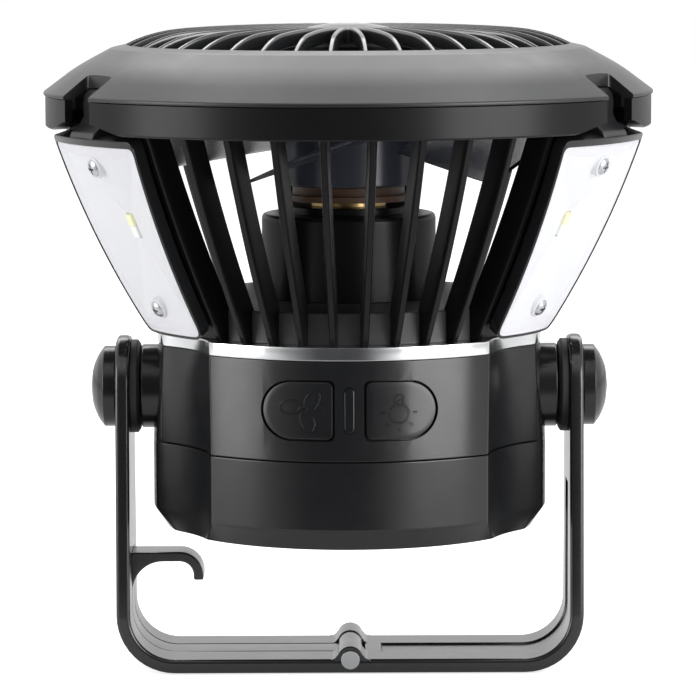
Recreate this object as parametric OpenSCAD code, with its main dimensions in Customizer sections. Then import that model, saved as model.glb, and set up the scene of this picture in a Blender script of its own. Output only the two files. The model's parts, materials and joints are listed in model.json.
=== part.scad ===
// Portable camping fan with three light modules, on a tilting stand with a fold-out hook.
// Millimetres. Origin at the middle of the foot's underside, +Z up, front towards -Y.
// The fan blows upwards along +Z. An azimuth of 0 is the front and grows towards +X.

/* [Stand] */
// Distance from the housing to the stand on either side
stand_gap = 5.9; // [5.4:0.1:9.7]
// Width of the stand's strap, and the diameter of its round ears
strap_w = 36; // [30:0.2:40]
// Diameter of the strap's two round ears
ear_d = 27.8; // [27:0.2:30]
// Thickness of the stand's strap
strap_t = 3.8; // [3:0.1:4.6]
// Outside radius of the stand's two bottom corners
stand_r = 15.8; // [9:0.2:20]
// Height of the tilt pivot above the foot
pivot_z = 76.4; // [74:0.2:90]

/* [Hook] */
// Depth of the channel along the other half of the strap
channel_depth = 0.5; // [0.3:0.1:0.8]
// Height at which that channel ends
channel_top = 50; // [40:0.5:54]
// Width of the slot that the hook arm folds into
slot_w = 11.4; // [9:0.2:14]
// Height of the folded hook's top
hook_top = 31.3; // [28:0.1:34]
// Thickness of the hook's tongue
hook_t = 2.7; // [2:0.1:3.5]
// How far the hook reaches inwards from the strap
hook_reach = 19.4; // [17:0.1:21]
// Outside radius of the curl at the hook's tip
curl_r = 6.5; // [5:0.1:7.2]
// Radius of the web between the hook and its arm
web_r = 8.3; // [5:0.1:10]
// Diameter of the hinge pin
pin_d = 3; // [2:0.1:4]
// Outside radius of the hinge knuckles
knuckle_r = 3.6; // [3.2:0.1:4.6]

/* [Pivots] */
// Diameter of the bosses on the housing
boss_d = 22.8; // [16:0.2:25]
// Diameter of the friction washers
washer_d = 25.4; // [18:0.2:27]
// Thickness of the friction washers
washer_t = 2.7; // [1.5:0.1:3.2]
// Diameter of the shoulder that turns in the strap's ears
shoulder_d = 8; // [6:0.1:10]
// Diameter of the pivot screws' thread
pivot_thread_d = 5; // [4:0.1:5.8]
// Diameter of the pivot screws' heads
pivot_head_d = 13; // [11:0.1:15]
// Thickness of the pivot screws' heads
pivot_head_h = 2.2; // [1.6:0.1:2.6]
// Length of the brass inserts in the bosses
insert_l = 9; // [6:0.2:10]
// Diameter of the brass inserts
insert_d = 8.6; // [7:0.1:11]
// Diameter of the caps over the pivot screws
cap_d = 22; // [19:0.2:26]
// Height of a cap's straight side
cap_side = 3.4; // [3.2:0.1:5]
// Height of a cap's dome
cap_dome = 3.8; // [2:0.1:5]

/* [Housing] */
// Diameter of the housing at its seam
base_d = 107; // [105:0.2:108.6]
// How far the upper housing leans in from the seam to its top edge
base_lean = 1.6; // [1:0.1:2.2]
// Distance from the pivot down to the housing's underside
base_drop = 37.4; // [36.6:0.1:38.4]
// Height of the lower housing
lower_h = 23.7; // [22.4:0.1:25]
// Height of the upper housing
upper_h = 26.2; // [25.6:0.1:27.4]
// Height of the metal trim ring
trim_h = 3.6; // [2.6:0.1:5]
// Width of the bevel around the underside
bevel_w = 3.8; // [2:0.1:4.6]
// Height of the bevel around the underside
bevel_h = 5.4; // [3:0.1:7]
// Wall of the two housings
base_wall = 2.4; // [2:0.1:2.8]
// Thickness of the deck that closes the upper housing
deck_t = 2; // [1.6:0.1:2.4]
// Angle taken up by each ear of the lower housing beside a pivot
ear_span = 30; // [28:0.5:33]
// Depth of the finger scoops under the light modules
scoop_depth = 5.5; // [4.5:0.1:6]

/* [Head] */
// Outside diameter of the head's rim
rim_d = 164.5; // [164:0.5:170]
// Height of the open cage between the trim ring and the rim
cage_h = 55; // [54:0.1:58]
// Height of the rim's straight band
band_h = 8.5; // [8:0.1:10]
// Wall of the rim's band and of the front cover
head_wall = 2.2; // [1.8:0.1:2.6]
// Diameter of the round grille in the front cover
grille_d = 119.2; // [116:0.2:122]
// Height of the front cover's slope
slope_h = 13.5; // [12.6:0.1:16]
// Rise of the grille's crown above the slope
grille_rise = 5.4; // [4:0.1:6]
// Number of ribs in the grille
grille_ribs = 42; // [30:1:44]
// Thickness of the grille's ribs
grille_t = 1.5; // [1.2:0.1:1.6]
// Depth of the grille's ribs
grille_depth = 4.2; // [3:0.1:5]
// Diameter of the disc in the middle of the grille
disc_d = 24; // [23:0.5:30]
// Width of the three notches in the rim
notch_w = 14.5; // [12:0.1:16]
// Depth of the notches, measured inwards from the rim
notch_depth = 7.6; // [6:0.1:8]

/* [Cage] */
// Number of ribs in the front vent
front_ribs = 10; // [8:1:10]
// Number of ribs in each of the two vents towards the back
rear_ribs = 8; // [7:1:10]
// Angle between the first and the last rib of a vent
vent_span = 86.4; // [84:0.2:86.8]
// Thickness of the ribs
rib_t = 2.2; // [1.8:0.1:2.4]
// Depth of the ribs, from outside to inside
rib_depth = 7.4; // [6.5:0.1:9]
// Height of the cage's floor above the trim ring
floor_h = 8.5; // [7:0.1:10]
// Thickness of the cage's floor and of the wall around it
floor_t = 2; // [1.6:0.1:2.4]

/* [Light modules] */
// Angle taken up by each light module
light_span = 34; // [32:0.5:34.5]
// Depth of the light housings between the cage's ribs
light_depth = 8.6; // [8:0.1:9.4]
// Depth of the light housings' flanges over the ribs
flange_depth = 4; // [3:0.1:4.2]
// Wall of the light housings
light_wall = 1.4; // [1.1:0.1:1.8]
// Height of the bar above each lens
light_bar = 2.2; // [1.8:0.1:3]
// Thickness of the lenses
lens_t = 1.6; // [1.2:0.1:2]
// Thickness of the white reflectors
reflector_t = 1.2; // [0.8:0.1:1.5]
// Width of the snap tongues that hold the front cover
tongue_w = 13.4; // [11:0.1:13.9]
// Radius of the round top of the snap tongues
tongue_r = 4.6; // [3.6:0.1:5]
// Diameter of the lens screws' heads
lens_head_d = 4.8; // [4:0.1:5.6]
// Width of the light emitting chips
led_w = 2.8; // [2:0.1:4]
// Height of the light emitting chips
led_h = 6.6; // [4:0.1:8]

/* [Buttons] */
// Height of the two buttons
button_h = 14.9; // [12:0.1:17]
// Distance from the middle to a button's straight edge
button_in = 4.3; // [3.9:0.1:5]
// Distance from the middle to a button's round end
button_out = 22.6; // [20:0.1:24]
// Travel of the buttons
button_travel = 1; // [0.5:0.1:1.2]
// Gap around the buttons
button_gap = 0.45; // [0.3:0.05:0.6]
// Width of the light pipe between the buttons
pipe_w = 2.5; // [2:0.1:3]
// Height of the light pipe
pipe_h = 11.8; // [8:0.1:14]

/* [Fan] */
// Number of blades
blades = 5; // [3:1:5]
// Diameter over the blade tips
fan_d = 110; // [100:1:112]
// Angle taken up by each blade
blade_span = 64; // [40:1:66]
// Pitch of the blades, in degrees
blade_pitch = 19; // [15:0.5:21]
// Thickness of the blades
blade_t = 1.6; // [1.2:0.1:2]
// Diameter of the hub
hub_d = 40; // [38.8:0.2:44]
// Height of the hub
hub_h = 23; // [21.6:0.2:25]
// Azimuth of the first blade's leading edge
blade_start = 41; // [0:1:71]

/* [Motor] */
// Diameter of the pod that carries the motor
pod_d = 47.2; // [44:0.2:50]
// Height of the pod
pod_h = 22.7; // [20:0.1:23.2]
// Wall of the pod
pod_wall = 2; // [1.6:0.1:2.6]
// Diameter of the neck on the pod
neck_d = 33.2; // [30:0.2:36]
// Height of the neck on the pod
neck_h = 2; // [1:0.1:2.4]
// Diameter of the motor's circuit board
motor_board_d = 34.4; // [30:0.2:38]
// Outside diameter of the motor's steel cup
cup_d = 34; // [32:0.2:34.6]
// Height of the motor's steel cup
cup_h = 17; // [16:0.2:18.6]
// Diameter of the motor's shaft
shaft_d = 3; // [2:0.1:4]
// Number of poles of the motor's stator
poles = 6; // [3:1:9]

/* [Power] */
// Number of battery cells side by side
cells = 3; // [1:1:3]
// Diameter of a battery cell
cell_d = 18.4; // [14:0.1:18.6]
// Length of a battery cell
cell_l = 65; // [50:0.5:66]
// Thickness of the circuit boards
board_t = 1.6; // [1:0.1:2]
// Width of the board behind the buttons
switch_board_w = 58; // [54:0.5:60]
// Height of the board behind the buttons
switch_board_h = 19; // [18:0.5:20]
// Diameter of the small screws' thread
screw_d = 2.6; // [2:0.1:3]
// Diameter of the leads
lead_d = 1.4; // [1:0.1:2]

/* [Fits] */
// Gap between parts that move past each other
gap = 0.3; // [0.25:0.05:0.4]
// Radial clearance of a running fit
fit = 0.06; // [0.03:0.01:0.1]

/* [Hidden] */
$fn = 96;
fine = 720;
eps = 0.01;
over = 1;
light_az = [60, 180, 300];
vent_az = [0, 120, 240];

base_r = base_d / 2;
base_top_r = base_r - base_lean;
rim_r = rim_d / 2;
band_r = rim_r - 0.5;
grille_r = grille_d / 2;

// Stand and pivots, measured from the middle
ear_in = base_r + stand_gap;
ear_out = ear_in + strap_t;
boss_end = ear_in - washer_t - gap;
boss_in = boss_end - insert_l - 1.2;
hinge_z = knuckle_r + 0.2;

// Levels of the head, from the underside up
base_z = pivot_z - base_drop;
seam_z = base_z + lower_h;
deck_z = seam_z + upper_h;
ring_top = deck_z + trim_h;
floor_top = ring_top + floor_h;
band_z = ring_top + cage_h;
cover_z = band_z + band_h;
grille_z = cover_z + slope_h;
crown_z = grille_z + grille_rise;
pod_top = floor_top + pod_h;

// A scoop is a round cut whose edges fall on the ends of its light module
half_span = light_span / 2;
scoop_floor = base_r - scoop_depth;
scoop_mid = (pow(base_r, 2) - pow(scoop_floor, 2))
    / (2 * (base_r * cos(half_span) - scoop_floor));
scoop_r = scoop_mid - scoop_floor;
cage_wall_r = scoop_floor - 0.5;

// Outer ends of the ribs and of the light modules, as [radius, height], and their bow
rib_top = [rim_r - 5.8, band_z];
rib_foot = [base_top_r - 1.9, ring_top];
rib_bow = 1.2;
light_top = [rim_r - 1.4, band_z - 1.3];
light_foot = [base_top_r + 3.3, ring_top + 0.4];
light_bow = 1.77;

// Layers of a light module, as depths below its outer face
light_half = half_span - 0.4;
tray_half = 60 - vent_span / 2 - (rib_t / 2 + gap) / (light_foot[0] - light_depth) * 180 / PI;
light_mean_r = (light_top[0] + light_foot[0]) / 2;
light_wall_deg = light_wall / light_mean_r * 180 / PI;
lens_span = 2 * (light_half - light_wall_deg);
board_span = 2 * (tray_half - light_wall_deg);
light_back = light_depth - light_wall;
led_base = light_back - board_t;
lens_top = light_top[1] - light_bar;
lens_foot = light_foot[1] + light_wall;
lens_screw_z = [lens_top - 6.3, lens_foot + 5.5];
lens_thread_d = 2.2;
lens_post_d = 5;
lens_seat = 0.7;
led_z = ring_top + 27.9;
led_proud = 0.8;
light_lead_r = cage_wall_r - 12;

// Buttons and the board behind them
button_z = pivot_z - 0.4;
button_x = (button_in + button_out) / 2;
flange_t = 1;
stem_d = 5;
plunger_d = 3.4;
switch_h = 4;
board_front = -(base_r - 15.2);
switch_front = board_front - switch_h;
stem_end = switch_front - button_travel - 0.7;

// Battery, boards and screws
cell_pitch = cell_d + 0.6;
tab_t = 0.3;
tab_h = 5;
holder_wall = 1.4;
cell_z = base_z + base_wall + 1.2 + cell_d / 2;
holder_half = (cells - 1) / 2 * cell_pitch + cell_d / 2 + holder_wall;
post_d = 7;
post_x = holder_half + post_d / 2 + 2.2;
post_y = sqrt(pow(base_r - 12, 2) - pow(post_x, 2));
screw_seat = seam_z - 6;
head_h = 1.6;
main_z = seam_z + 7.3;
main_w = 34;
main_y0 = 10;
main_y1 = scoop_floor - base_wall - 3.2;
main_spots = [[13, main_y0 + 5], [-13, main_y0 + 5], [13, main_y1 - 5], [-13, main_y1 - 5]];
switch_spots = [[switch_board_w / 2 - 3, 7], [3 - switch_board_w / 2, 7],
    [switch_board_w / 2 - 3, -7], [3 - switch_board_w / 2, -7]];
lead_y = 12;
lead_x = [-2.6, 0, 2.6];
lead_hole_d = 10;
cage_screw_ring = 30;
pod_screw_ring = pod_d / 2 - pod_wall - 3.4;

// Motor stack, from the pod up
tube_flange_t = 1.5;
tube_z = pod_top + neck_h;
motor_board_z = tube_z + tube_flange_t;
insulator_z = motor_board_z + board_t;
hub_z = pod_top + 7.8;
cup_z = hub_z + gap;
cup_wall = 1.2;
magnet_t = 2;
air_gap = 0.6;
cup_in = cup_d / 2 - cup_wall;
stator_r = cup_in - magnet_t - air_gap;
cup_roof = cup_z + cup_h - cup_wall;
tube_d = 11;
bearing_d = 8;
bearing_h = 4;
tube_top = cup_roof - 1.5;
core_z = cup_z + 0.5;
core_h = 10;
fan_r = fan_d / 2;
blade_z = hub_z + 2.8 + fan_r * sin(blade_span / 2) * tan(blade_pitch);

// ---- helpers -------------------------------------------------------------

// Turns what is made at the front to an azimuth
module at_az(az) { rotate([0, 0, az]) children(); }

// A flat plate of thickness t in the front radial plane, from a [radius, height] outline
module radial_plate(t) {
    rotate([0, 0, -90]) rotate([90, 0, 0]) linear_extrude(height = t, center = true) children();
}

// A turned sector of a [radius, height] outline, centred on the front
module sector(deg) {
    rotate([0, 0, -90 - deg / 2]) rotate_extrude(angle = deg) children();
}

// A flat outline in the XZ plane, extruded along Y about the middle
module across(w) {
    rotate([90, 0, 0]) linear_extrude(height = w, center = true) children();
}

// A flat outline in the XZ plane, extruded along Y from y0 to y1
module along_y(y0, y1) {
    translate([0, y1, 0]) rotate([90, 0, 0]) linear_extrude(height = y1 - y0) children();
}

// A cylinder along X, from x0 to x1, on the tilt axis
module pivot_rod(d, x0, x1) {
    translate([x0, 0, pivot_z]) rotate([0, 90, 0]) cylinder(d = d, h = x1 - x0);
}

// What is made on the right, on both sides
module both_sides() { for (s = [0, 1]) mirror([s, 0, 0]) children(); }

// Everything below a height
module below(z) { translate([-rim_d, -rim_d, z - 3 * rim_d]) cube([2 * rim_d, 2 * rim_d, 3 * rim_d]); }

// Radius and centre of the arc through two [radius, height] points that bows out by sag
function arc_r(a, b, sag) = (pow(norm(a - b) / 2, 2) + pow(sag, 2)) / (2 * sag);
function arc_mid(a, b, sag) = (a + b) / 2
    - (arc_r(a, b, sag) - sag) * [a[1] - b[1], b[0] - a[0]] / norm(a - b);

// Outline of a bowed layer between two depths below its arc and two heights
module bowed(a, b, sag, d0, d1, z0, z1) {
    r = arc_r(a, b, sag);
    intersection() {
        translate(arc_mid(a, b, sag)) difference() {
            circle(r = r - d0, $fn = fine);
            circle(r = r - d1, $fn = fine);
        }
        translate([20, z0]) square([rim_r, z1 - z0]);
    }
}

module light_layer(d0, d1, z0, z1) { bowed(light_top, light_foot, light_bow, d0, d1, z0, z1); }

// Places what is made around the local Z axis square on a light module: at a height on its
// outer face, and from there straight in to a depth
module on_light(z, depth) {
    mid = arc_mid(light_top, light_foot, light_bow);
    r = arc_r(light_top, light_foot, light_bow);
    slope = asin((z - mid[1]) / r);
    translate([0, -mid[0], mid[1]]) rotate([90 - slope, 0, 0]) translate([0, 0, r - depth]) children();
}

// ---- stand ---------------------------------------------------------------

module rounded_u(half, r) {
    translate([-half, r]) square([2 * half, pivot_z - r]);
    translate([-half + r, 0]) square([2 * (half - r), r + eps]);
    for (s = [-1, 1]) translate([s * (half - r), r]) circle(r = r);
}

module strap_outline(lift) {
    difference() {
        rounded_u(ear_out, stand_r);
        translate([0, strap_t]) rounded_u(ear_in, stand_r - strap_t);
        translate([-ear_out - over, -over]) square([2 * (ear_out + over), over + lift]);
    }
}

// A knuckle with a fillet to the strap on either side
module lug_outline() {
    fillet = 2;
    dip = 0.1;
    mid_z = strap_t + fillet - dip;
    out = sqrt(pow(knuckle_r + fillet - dip, 2) - pow(mid_z - hinge_z, 2));
    translate([0, hinge_z]) circle(r = knuckle_r);
    for (s = [0, 1]) mirror([s, 0]) difference() {
        polygon([[0, hinge_z], [0, strap_t - over], [out, strap_t - over], [out, mid_z]]);
        translate([out, mid_z]) circle(r = fillet);
    }
}

// The strap seen from its side: widest at the foot, narrowing to the ears
module strap_side() {
    low = strap_w / 2;
    high = ear_d / 2 - 0.02;
    polygon([[-low, -over], [low, -over], [low, stand_r], [high, pivot_z], [-high, pivot_z], [-low, stand_r]]);
}

// The shallow channel that carries on from the slot along the other half of the strap
module channel_outline() {
    intersection() {
        translate([0, strap_t - channel_depth])
            rounded_u(ear_in + channel_depth, stand_r - strap_t + channel_depth);
        translate([knuckle_r + 5, 0]) square([ear_out, channel_top]);
    }
}

module stand() {
    lug_w = (strap_w - slot_w) / 2;
    color("#17181a") difference() {
        union() {
            difference() {
                union() {
                    intersection() {
                        across(strap_w) strap_outline(0);
                        rotate([90, 0, 90]) linear_extrude(height = 2 * ear_out + over, center = true)
                            strap_side();
                    }
                    both_sides() pivot_rod(ear_d, ear_in, ear_out);
                }
                translate([-ear_out - over, -slot_w / 2, -over])
                    cube([ear_out + over + knuckle_r + gap, slot_w, hook_top + gap + over]);
                across(slot_w) channel_outline();
            }
            for (s = [-1, 1]) translate([0, s * (slot_w + lug_w) / 2, 0]) across(lug_w) lug_outline();
        }
        translate([0, 0, hinge_z]) across(strap_w + over) circle(d = pin_d);
        pivot_rod(shoulder_d + 2 * fit, -ear_out - over, ear_out + over);
    }
}

module hinge_pin() {
    head_d = pin_d + 2;
    pin_head_h = 0.8;
    color("#5d6064") translate([0, 0, hinge_z]) {
        across(strap_w) circle(d = pin_d);
        for (s = [-1, 1]) translate([0, s * (strap_w + pin_head_h) / 2, 0])
            across(pin_head_h) circle(d = head_d);
    }
}

// ---- fold-out hook -------------------------------------------------------

module hook_outline() {
    under = hook_top - hook_t;
    curl_x = -ear_in + hook_reach - curl_r;
    intersection() {
        strap_outline(gap);
        translate([-ear_out, 0]) square([ear_out, hook_top]);
    }
    translate([0, hinge_z]) circle(r = knuckle_r - gap);
    translate([-ear_in - eps, under]) square([curl_x + ear_in + 2 * eps, hook_t]);
    translate([curl_x, hook_top - curl_r]) {
        intersection() {
            difference() {
                circle(r = curl_r);
                circle(r = curl_r - hook_t);
            }
            square(curl_r);
        }
        translate([curl_r - hook_t / 2, 0]) circle(r = hook_t / 2);
    }
    translate([-ear_in - eps, under - web_r]) difference() {
        square(web_r + eps);
        translate([web_r + eps, 0]) circle(r = web_r);
    }
}

module hook_arm() {
    color("#1b1c1e") across(slot_w - 2 * gap) difference() {
        hook_outline();
        translate([0, hinge_z]) circle(d = pin_d + 2 * fit);
    }
}

// ---- tilt pivots ---------------------------------------------------------

module pivot_washers() {
    color("#101113") both_sides() difference() {
        pivot_rod(washer_d, ear_in - washer_t, ear_in);
        pivot_rod(shoulder_d + 2 * fit, 0, ear_out);
    }
}

module pivot_screws() {
    head_x = ear_out + gap;
    socket_d = 5;
    color("#8c8f94") both_sides() difference() {
        union() {
            pivot_rod(pivot_thread_d, boss_end - insert_l + over, boss_end + eps);
            pivot_rod(shoulder_d, boss_end, head_x + eps);
            pivot_rod(pivot_head_d, head_x, head_x + pivot_head_h);
        }
        translate([head_x + pivot_head_h / 2, 0, pivot_z]) rotate([0, 90, 0])
            cylinder(d = socket_d, h = pivot_head_h, $fn = 6);
    }
}

module pivot_inserts() {
    color("#b08d4a") both_sides() difference() {
        pivot_rod(insert_d, boss_end - insert_l, boss_end);
        pivot_rod(pivot_thread_d, 0, ear_out);
    }
}

module cap_outline() {
    r = cap_d / 2;
    dome = (pow(r, 2) + pow(cap_dome, 2)) / (2 * cap_dome);
    difference() {
        union() {
            square([r, cap_side]);
            intersection() {
                translate([0, cap_side + cap_dome - dome]) circle(r = dome, $fn = fine);
                square([r, cap_side + cap_dome]);
            }
        }
        square([pivot_head_d / 2 + 1, pivot_head_h + 2 * gap]);
    }
}

module pivot_caps() {
    color("#141517") both_sides() translate([ear_out, 0, pivot_z]) rotate([0, 90, 0])
        rotate_extrude() cap_outline();
}

// ---- housings ------------------------------------------------------------

// The outside form of both housings, or their inside at a depth of inset
module housing_form(inset) {
    difference() {
        rotate_extrude() polygon([
            [0, base_z + inset], [base_r - bevel_w - inset, base_z + inset],
            [base_r - inset, base_z + bevel_h + inset], [base_r - inset, seam_z],
            [base_top_r - inset, deck_z], [0, deck_z]
        ]);
        scoops(inset);
    }
}

// The round cuts under the light modules
module scoops(inset) {
    for (az = light_az) at_az(az) translate([0, -scoop_mid, base_z - over])
        cylinder(r = scoop_r + inset, h = ring_top - base_z + 2 * over);
}

// What belongs to the lower housing: all below the seam, and two ears beside the pivots
module lower_zone() {
    below(seam_z);
    both_sides() at_az(90) sector(ear_span) translate([base_r - 9, seam_z - eps])
        square([20, pivot_z - seam_z + eps]);
}

module bosses() { both_sides() pivot_rod(boss_d, boss_in, boss_end); }

module insert_bores() { both_sides() pivot_rod(insert_d, boss_end - insert_l, boss_end + over); }

module at_posts() { for (x = [-post_x, post_x], y = [-post_y, post_y]) translate([x, y, 0]) children(); }

module lower_housing() {
    color("#1c1d1f") difference() {
        union() {
            intersection() {
                difference() {
                    housing_form(0);
                    housing_form(base_wall);
                }
                lower_zone();
            }
            intersection() {
                bosses();
                below(pivot_z);
            }
            at_posts() translate([0, 0, base_z + base_wall - eps])
                cylinder(d = post_d, h = lower_h - base_wall + eps);
        }
        insert_bores();
        at_posts() {
            translate([0, 0, base_z - over]) cylinder(d = screw_d, h = lower_h + 2 * over);
            translate([0, 0, base_z - over]) cylinder(d = post_d - 2, h = screw_seat - base_z + over);
        }
    }
}

module d_outline(grow) {
    r = button_h / 2 + grow;
    corner = 1.3 + grow;
    left = button_in - grow;
    mid = button_out - button_h / 2;
    translate([0, button_z]) {
        translate([mid, 0]) circle(r = r);
        translate([left + corner, -r]) square([mid - left - corner, 2 * r]);
        translate([left, -r + corner]) square([mid - left, 2 * (r - corner)]);
        for (s = [-1, 1]) translate([left + corner, s * (r - corner)]) circle(r = corner);
    }
}

module pipe_outline() {
    translate([0, button_z]) {
        square([pipe_w, pipe_h - pipe_w], center = true);
        for (s = [-1, 1]) translate([0, s * (pipe_h - pipe_w) / 2]) circle(d = pipe_w);
    }
}

module usb_outline(grow) {
    w = 9 + 2 * grow;
    h = 3.2 + 2 * grow;
    translate([0, main_z + board_t + 1.6]) {
        square([w - h, h], center = true);
        for (s = [-1, 1]) translate([s * (w - h) / 2, 0]) circle(d = h);
    }
}

module upper_housing() {
    peg_d = 5;
    color("#202124") difference() {
        union() {
            difference() {
                housing_form(0);
                housing_form(base_wall);
                lower_zone();
            }
            intersection() {
                housing_form(0);
                translate([0, 0, deck_z - deck_t]) cylinder(r = base_d, h = deck_t);
            }
            difference() {
                bosses();
                below(pivot_z);
            }
            at_posts() translate([0, 0, seam_z]) cylinder(d = post_d, h = upper_h - eps);
            for (p = main_spots) translate([p[0], p[1], main_z + board_t])
                cylinder(d = peg_d, h = deck_z - main_z - board_t - eps);
            intersection() {
                housing_form(eps);
                for (p = switch_spots) translate([p[0], 0, button_z + p[1]])
                    along_y(-base_r, board_front) circle(d = peg_d);
            }
        }
        insert_bores();
        at_posts() translate([0, 0, seam_z - over]) cylinder(d = screw_d, h = 9 + over);
        both_sides() along_y(-base_r - over, 0.8 * board_front) d_outline(button_gap);
        along_y(-base_r - over, board_front) pipe_outline();
        along_y(main_y1, base_r) usb_outline(gap);
        for (p = main_spots) translate([p[0], p[1], main_z]) cylinder(d = screw_d, h = 8);
        for (p = switch_spots) translate([p[0], board_front - 3, button_z + p[1]]) across(6) circle(d = 2);
        for (az = vent_az) at_az(az) translate([0, -cage_screw_ring, deck_z - deck_t - over])
            cylinder(d = screw_d, h = deck_t + 2 * over);
        translate([0, lead_y, deck_z - deck_t - over]) cylinder(d = lead_hole_d, h = deck_t + 2 * over);
        for (az = light_az) at_az(az) translate([0, -light_lead_r, deck_z - deck_t - over])
            cylinder(d = lead_d, h = deck_t + 2 * over);
    }
}

// A screw with its head down and its thread up, seated at z = 0
module screw_up(d, l, head_d) {
    translate([0, 0, -eps]) cylinder(d = d, h = l + eps);
    difference() {
        translate([0, 0, -head_h]) cylinder(d = head_d, h = head_h);
        translate([0, 0, -head_h - eps]) cross_slot(head_d);
    }
}

module cross_slot(head_d) {
    for (a = [0, 90]) rotate([0, 0, a]) translate([-head_d * 0.3, -0.35, 0])
        cube([head_d * 0.6, 0.7, 0.7]);
}

module base_screws() {
    color("#8c8f94") at_posts() translate([0, 0, screw_seat]) screw_up(screw_d, 14, post_d - 2.2);
}

module trim_ring() {
    color("#c9ccd0") difference() {
        translate([0, 0, deck_z]) difference() {
            cylinder(r = base_top_r + 0.1, h = trim_h);
            translate([0, 0, -over]) cylinder(r = cage_wall_r - 2.5, h = trim_h + 2 * over);
        }
        scoops(0);
    }
}

// ---- buttons -------------------------------------------------------------

module button(side) {
    color("#26272a") mirror([side, 0, 0]) {
        intersection() {
            along_y(-base_r, 0.8 * board_front) d_outline(0);
            difference() {
                housing_form(0);
                housing_form(base_wall + gap + eps);
            }
        }
        intersection() {
            along_y(-base_r, 0.8 * board_front) d_outline(1);
            difference() {
                housing_form(base_wall + gap);
                housing_form(base_wall + gap + flange_t);
            }
        }
        translate([button_x, 0, button_z]) along_y(-base_r + base_wall + 3.4, stem_end) circle(d = stem_d);
    }
}

module fan_button() { button(1); }

module light_button() { button(0); }

module plunger(side) {
    color("#d9d9d4") mirror([side, 0, 0]) translate([button_x, 0, button_z])
        along_y(stem_end, switch_front + over) circle(d = plunger_d);
}

module fan_plunger() { plunger(1); }

module light_plunger() { plunger(0); }

module tact_switches() {
    size = 6;
    color("#2b2d30") both_sides() translate([button_x, 0, button_z]) difference() {
        along_y(switch_front, board_front) square(size, center = true);
        along_y(switch_front - over, board_front - 0.8) circle(d = plunger_d + 2 * gap);
    }
}

module switch_board() {
    color("#1d5b38") difference() {
        translate([0, 0, button_z]) along_y(board_front, board_front + board_t)
            square([switch_board_w, switch_board_h], center = true);
        for (p = switch_spots) translate([p[0], board_front, button_z + p[1]]) across(6) circle(d = 2);
    }
}

module board_screws() {
    color("#8c8f94") {
        for (p = switch_spots) translate([p[0], board_front + board_t, button_z + p[1]])
            rotate([90, 0, 0]) screw_up(2, board_t + 3, 4);
        for (p = main_spots) translate([p[0], p[1], main_z]) screw_up(screw_d, 8, 4.6);
    }
}

module light_pipe() {
    color("#e8eef2") intersection() {
        along_y(-base_r, board_front - 1) pipe_outline();
        housing_form(0);
    }
}

// ---- power ---------------------------------------------------------------

module main_board() {
    color("#1d5b38") difference() {
        translate([-main_w / 2, main_y0, main_z]) cube([main_w, main_y1 - main_y0, board_t]);
        for (p = main_spots) translate([p[0], p[1], main_z - over]) cylinder(d = screw_d, h = board_t + 2 * over);
    }
}

module usb_socket() {
    depth = 7.4;
    color("#b9bcc0") {
        difference() {
            along_y(scoop_floor - 0.4 - depth, scoop_floor - 0.4) usb_outline(0);
            along_y(scoop_floor - 0.4 - depth + over, scoop_floor) usb_outline(-0.35);
        }
        along_y(scoop_floor - 0.4 - depth + over / 2, scoop_floor - 1.4)
            translate([0, main_z + board_t + 1.6]) square([6.4, 0.7], center = true);
    }
}

module at_cells() {
    for (i = [0 : cells - 1]) translate([(i - (cells - 1) / 2) * cell_pitch, 0, cell_z]) children();
}

module battery_holder() {
    half_l = cell_l / 2 + tab_t + holder_wall;
    floor_z = base_z + base_wall;
    color("#2d2f33") difference() {
        translate([-holder_half, -half_l, floor_z]) cube([2 * holder_half, 2 * half_l, cell_z - floor_z]);
        at_cells() across(cell_l + 2 * tab_t) circle(d = cell_d);
        tab_plates();
    }
}

module battery_cells() {
    color("#2f6f9f") at_cells() {
        across(cell_l - 1) circle(d = cell_d);
        translate([0, 0.5, 0]) across(cell_l - 1) circle(d = 6);
        translate([0, -0.5, 0]) across(cell_l - 1) circle(d = 14);
    }
}

module tab_plates() {
    tab_w = (cells - 1) * cell_pitch + tab_h;
    for (s = [-1, 1]) translate([0, s * (cell_l + tab_t) / 2, cell_z])
        across(tab_t) square([tab_w, tab_h], center = true);
}

module battery_tabs() { color("#c8c4b8") tab_plates(); }

// Leads from the battery to the main board, and on up to the motor's board
module power_leads() {
    color("#a3262a") {
        for (x = lead_x) translate([x, lead_y, main_z + board_t])
            cylinder(d = lead_d, h = motor_board_z - main_z - board_t);
        for (x = [-7, 7]) translate([x, (cell_l + lead_d) / 2, cell_z + tab_h / 2])
            cylinder(d = lead_d, h = main_z - cell_z - tab_h / 2);
    }
}

// ---- cage and front cover ------------------------------------------------

// The ribs of one vent
module vent(ribs) {
    for (i = [0 : ribs - 1]) at_az((i / (ribs - 1) - 0.5) * vent_span)
        radial_plate(rib_t) bowed(rib_top, rib_foot, rib_bow, 0, rib_depth, ring_top, band_z + eps);
}

module band_outline() {
    flange_in = rib_top[0] - rib_depth - 1;
    translate([band_r - head_wall, band_z + eps]) square([head_wall, band_h - eps]);
    translate([flange_in, band_z]) square([band_r - flange_in - 0.7, floor_t]);
    polygon([[band_r - head_wall, band_z + eps], [band_r - 0.7, band_z], [band_r, band_z + 1.6],
        [band_r - head_wall, band_z + 1.6]]);
}

// The relief that lets the rim's lower edge rise towards a notch
module edge_relief() {
    rise = 2.6;
    low = 20.5;
    high = notch_w / 2 + 1.5;
    translate([0, -rim_r + 8, 0]) rotate([90, 0, 0]) linear_extrude(height = 20) polygon([
        [-low, band_z - over], [low, band_z - over], [low, band_z], [high, band_z + rise],
        [-high, band_z + rise], [-low, band_z]
    ]);
}

module notch(depth, z0, z1) {
    translate([-notch_w / 2, -rim_r - over, z0]) cube([notch_w, depth + over, z1 - z0]);
}

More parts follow.
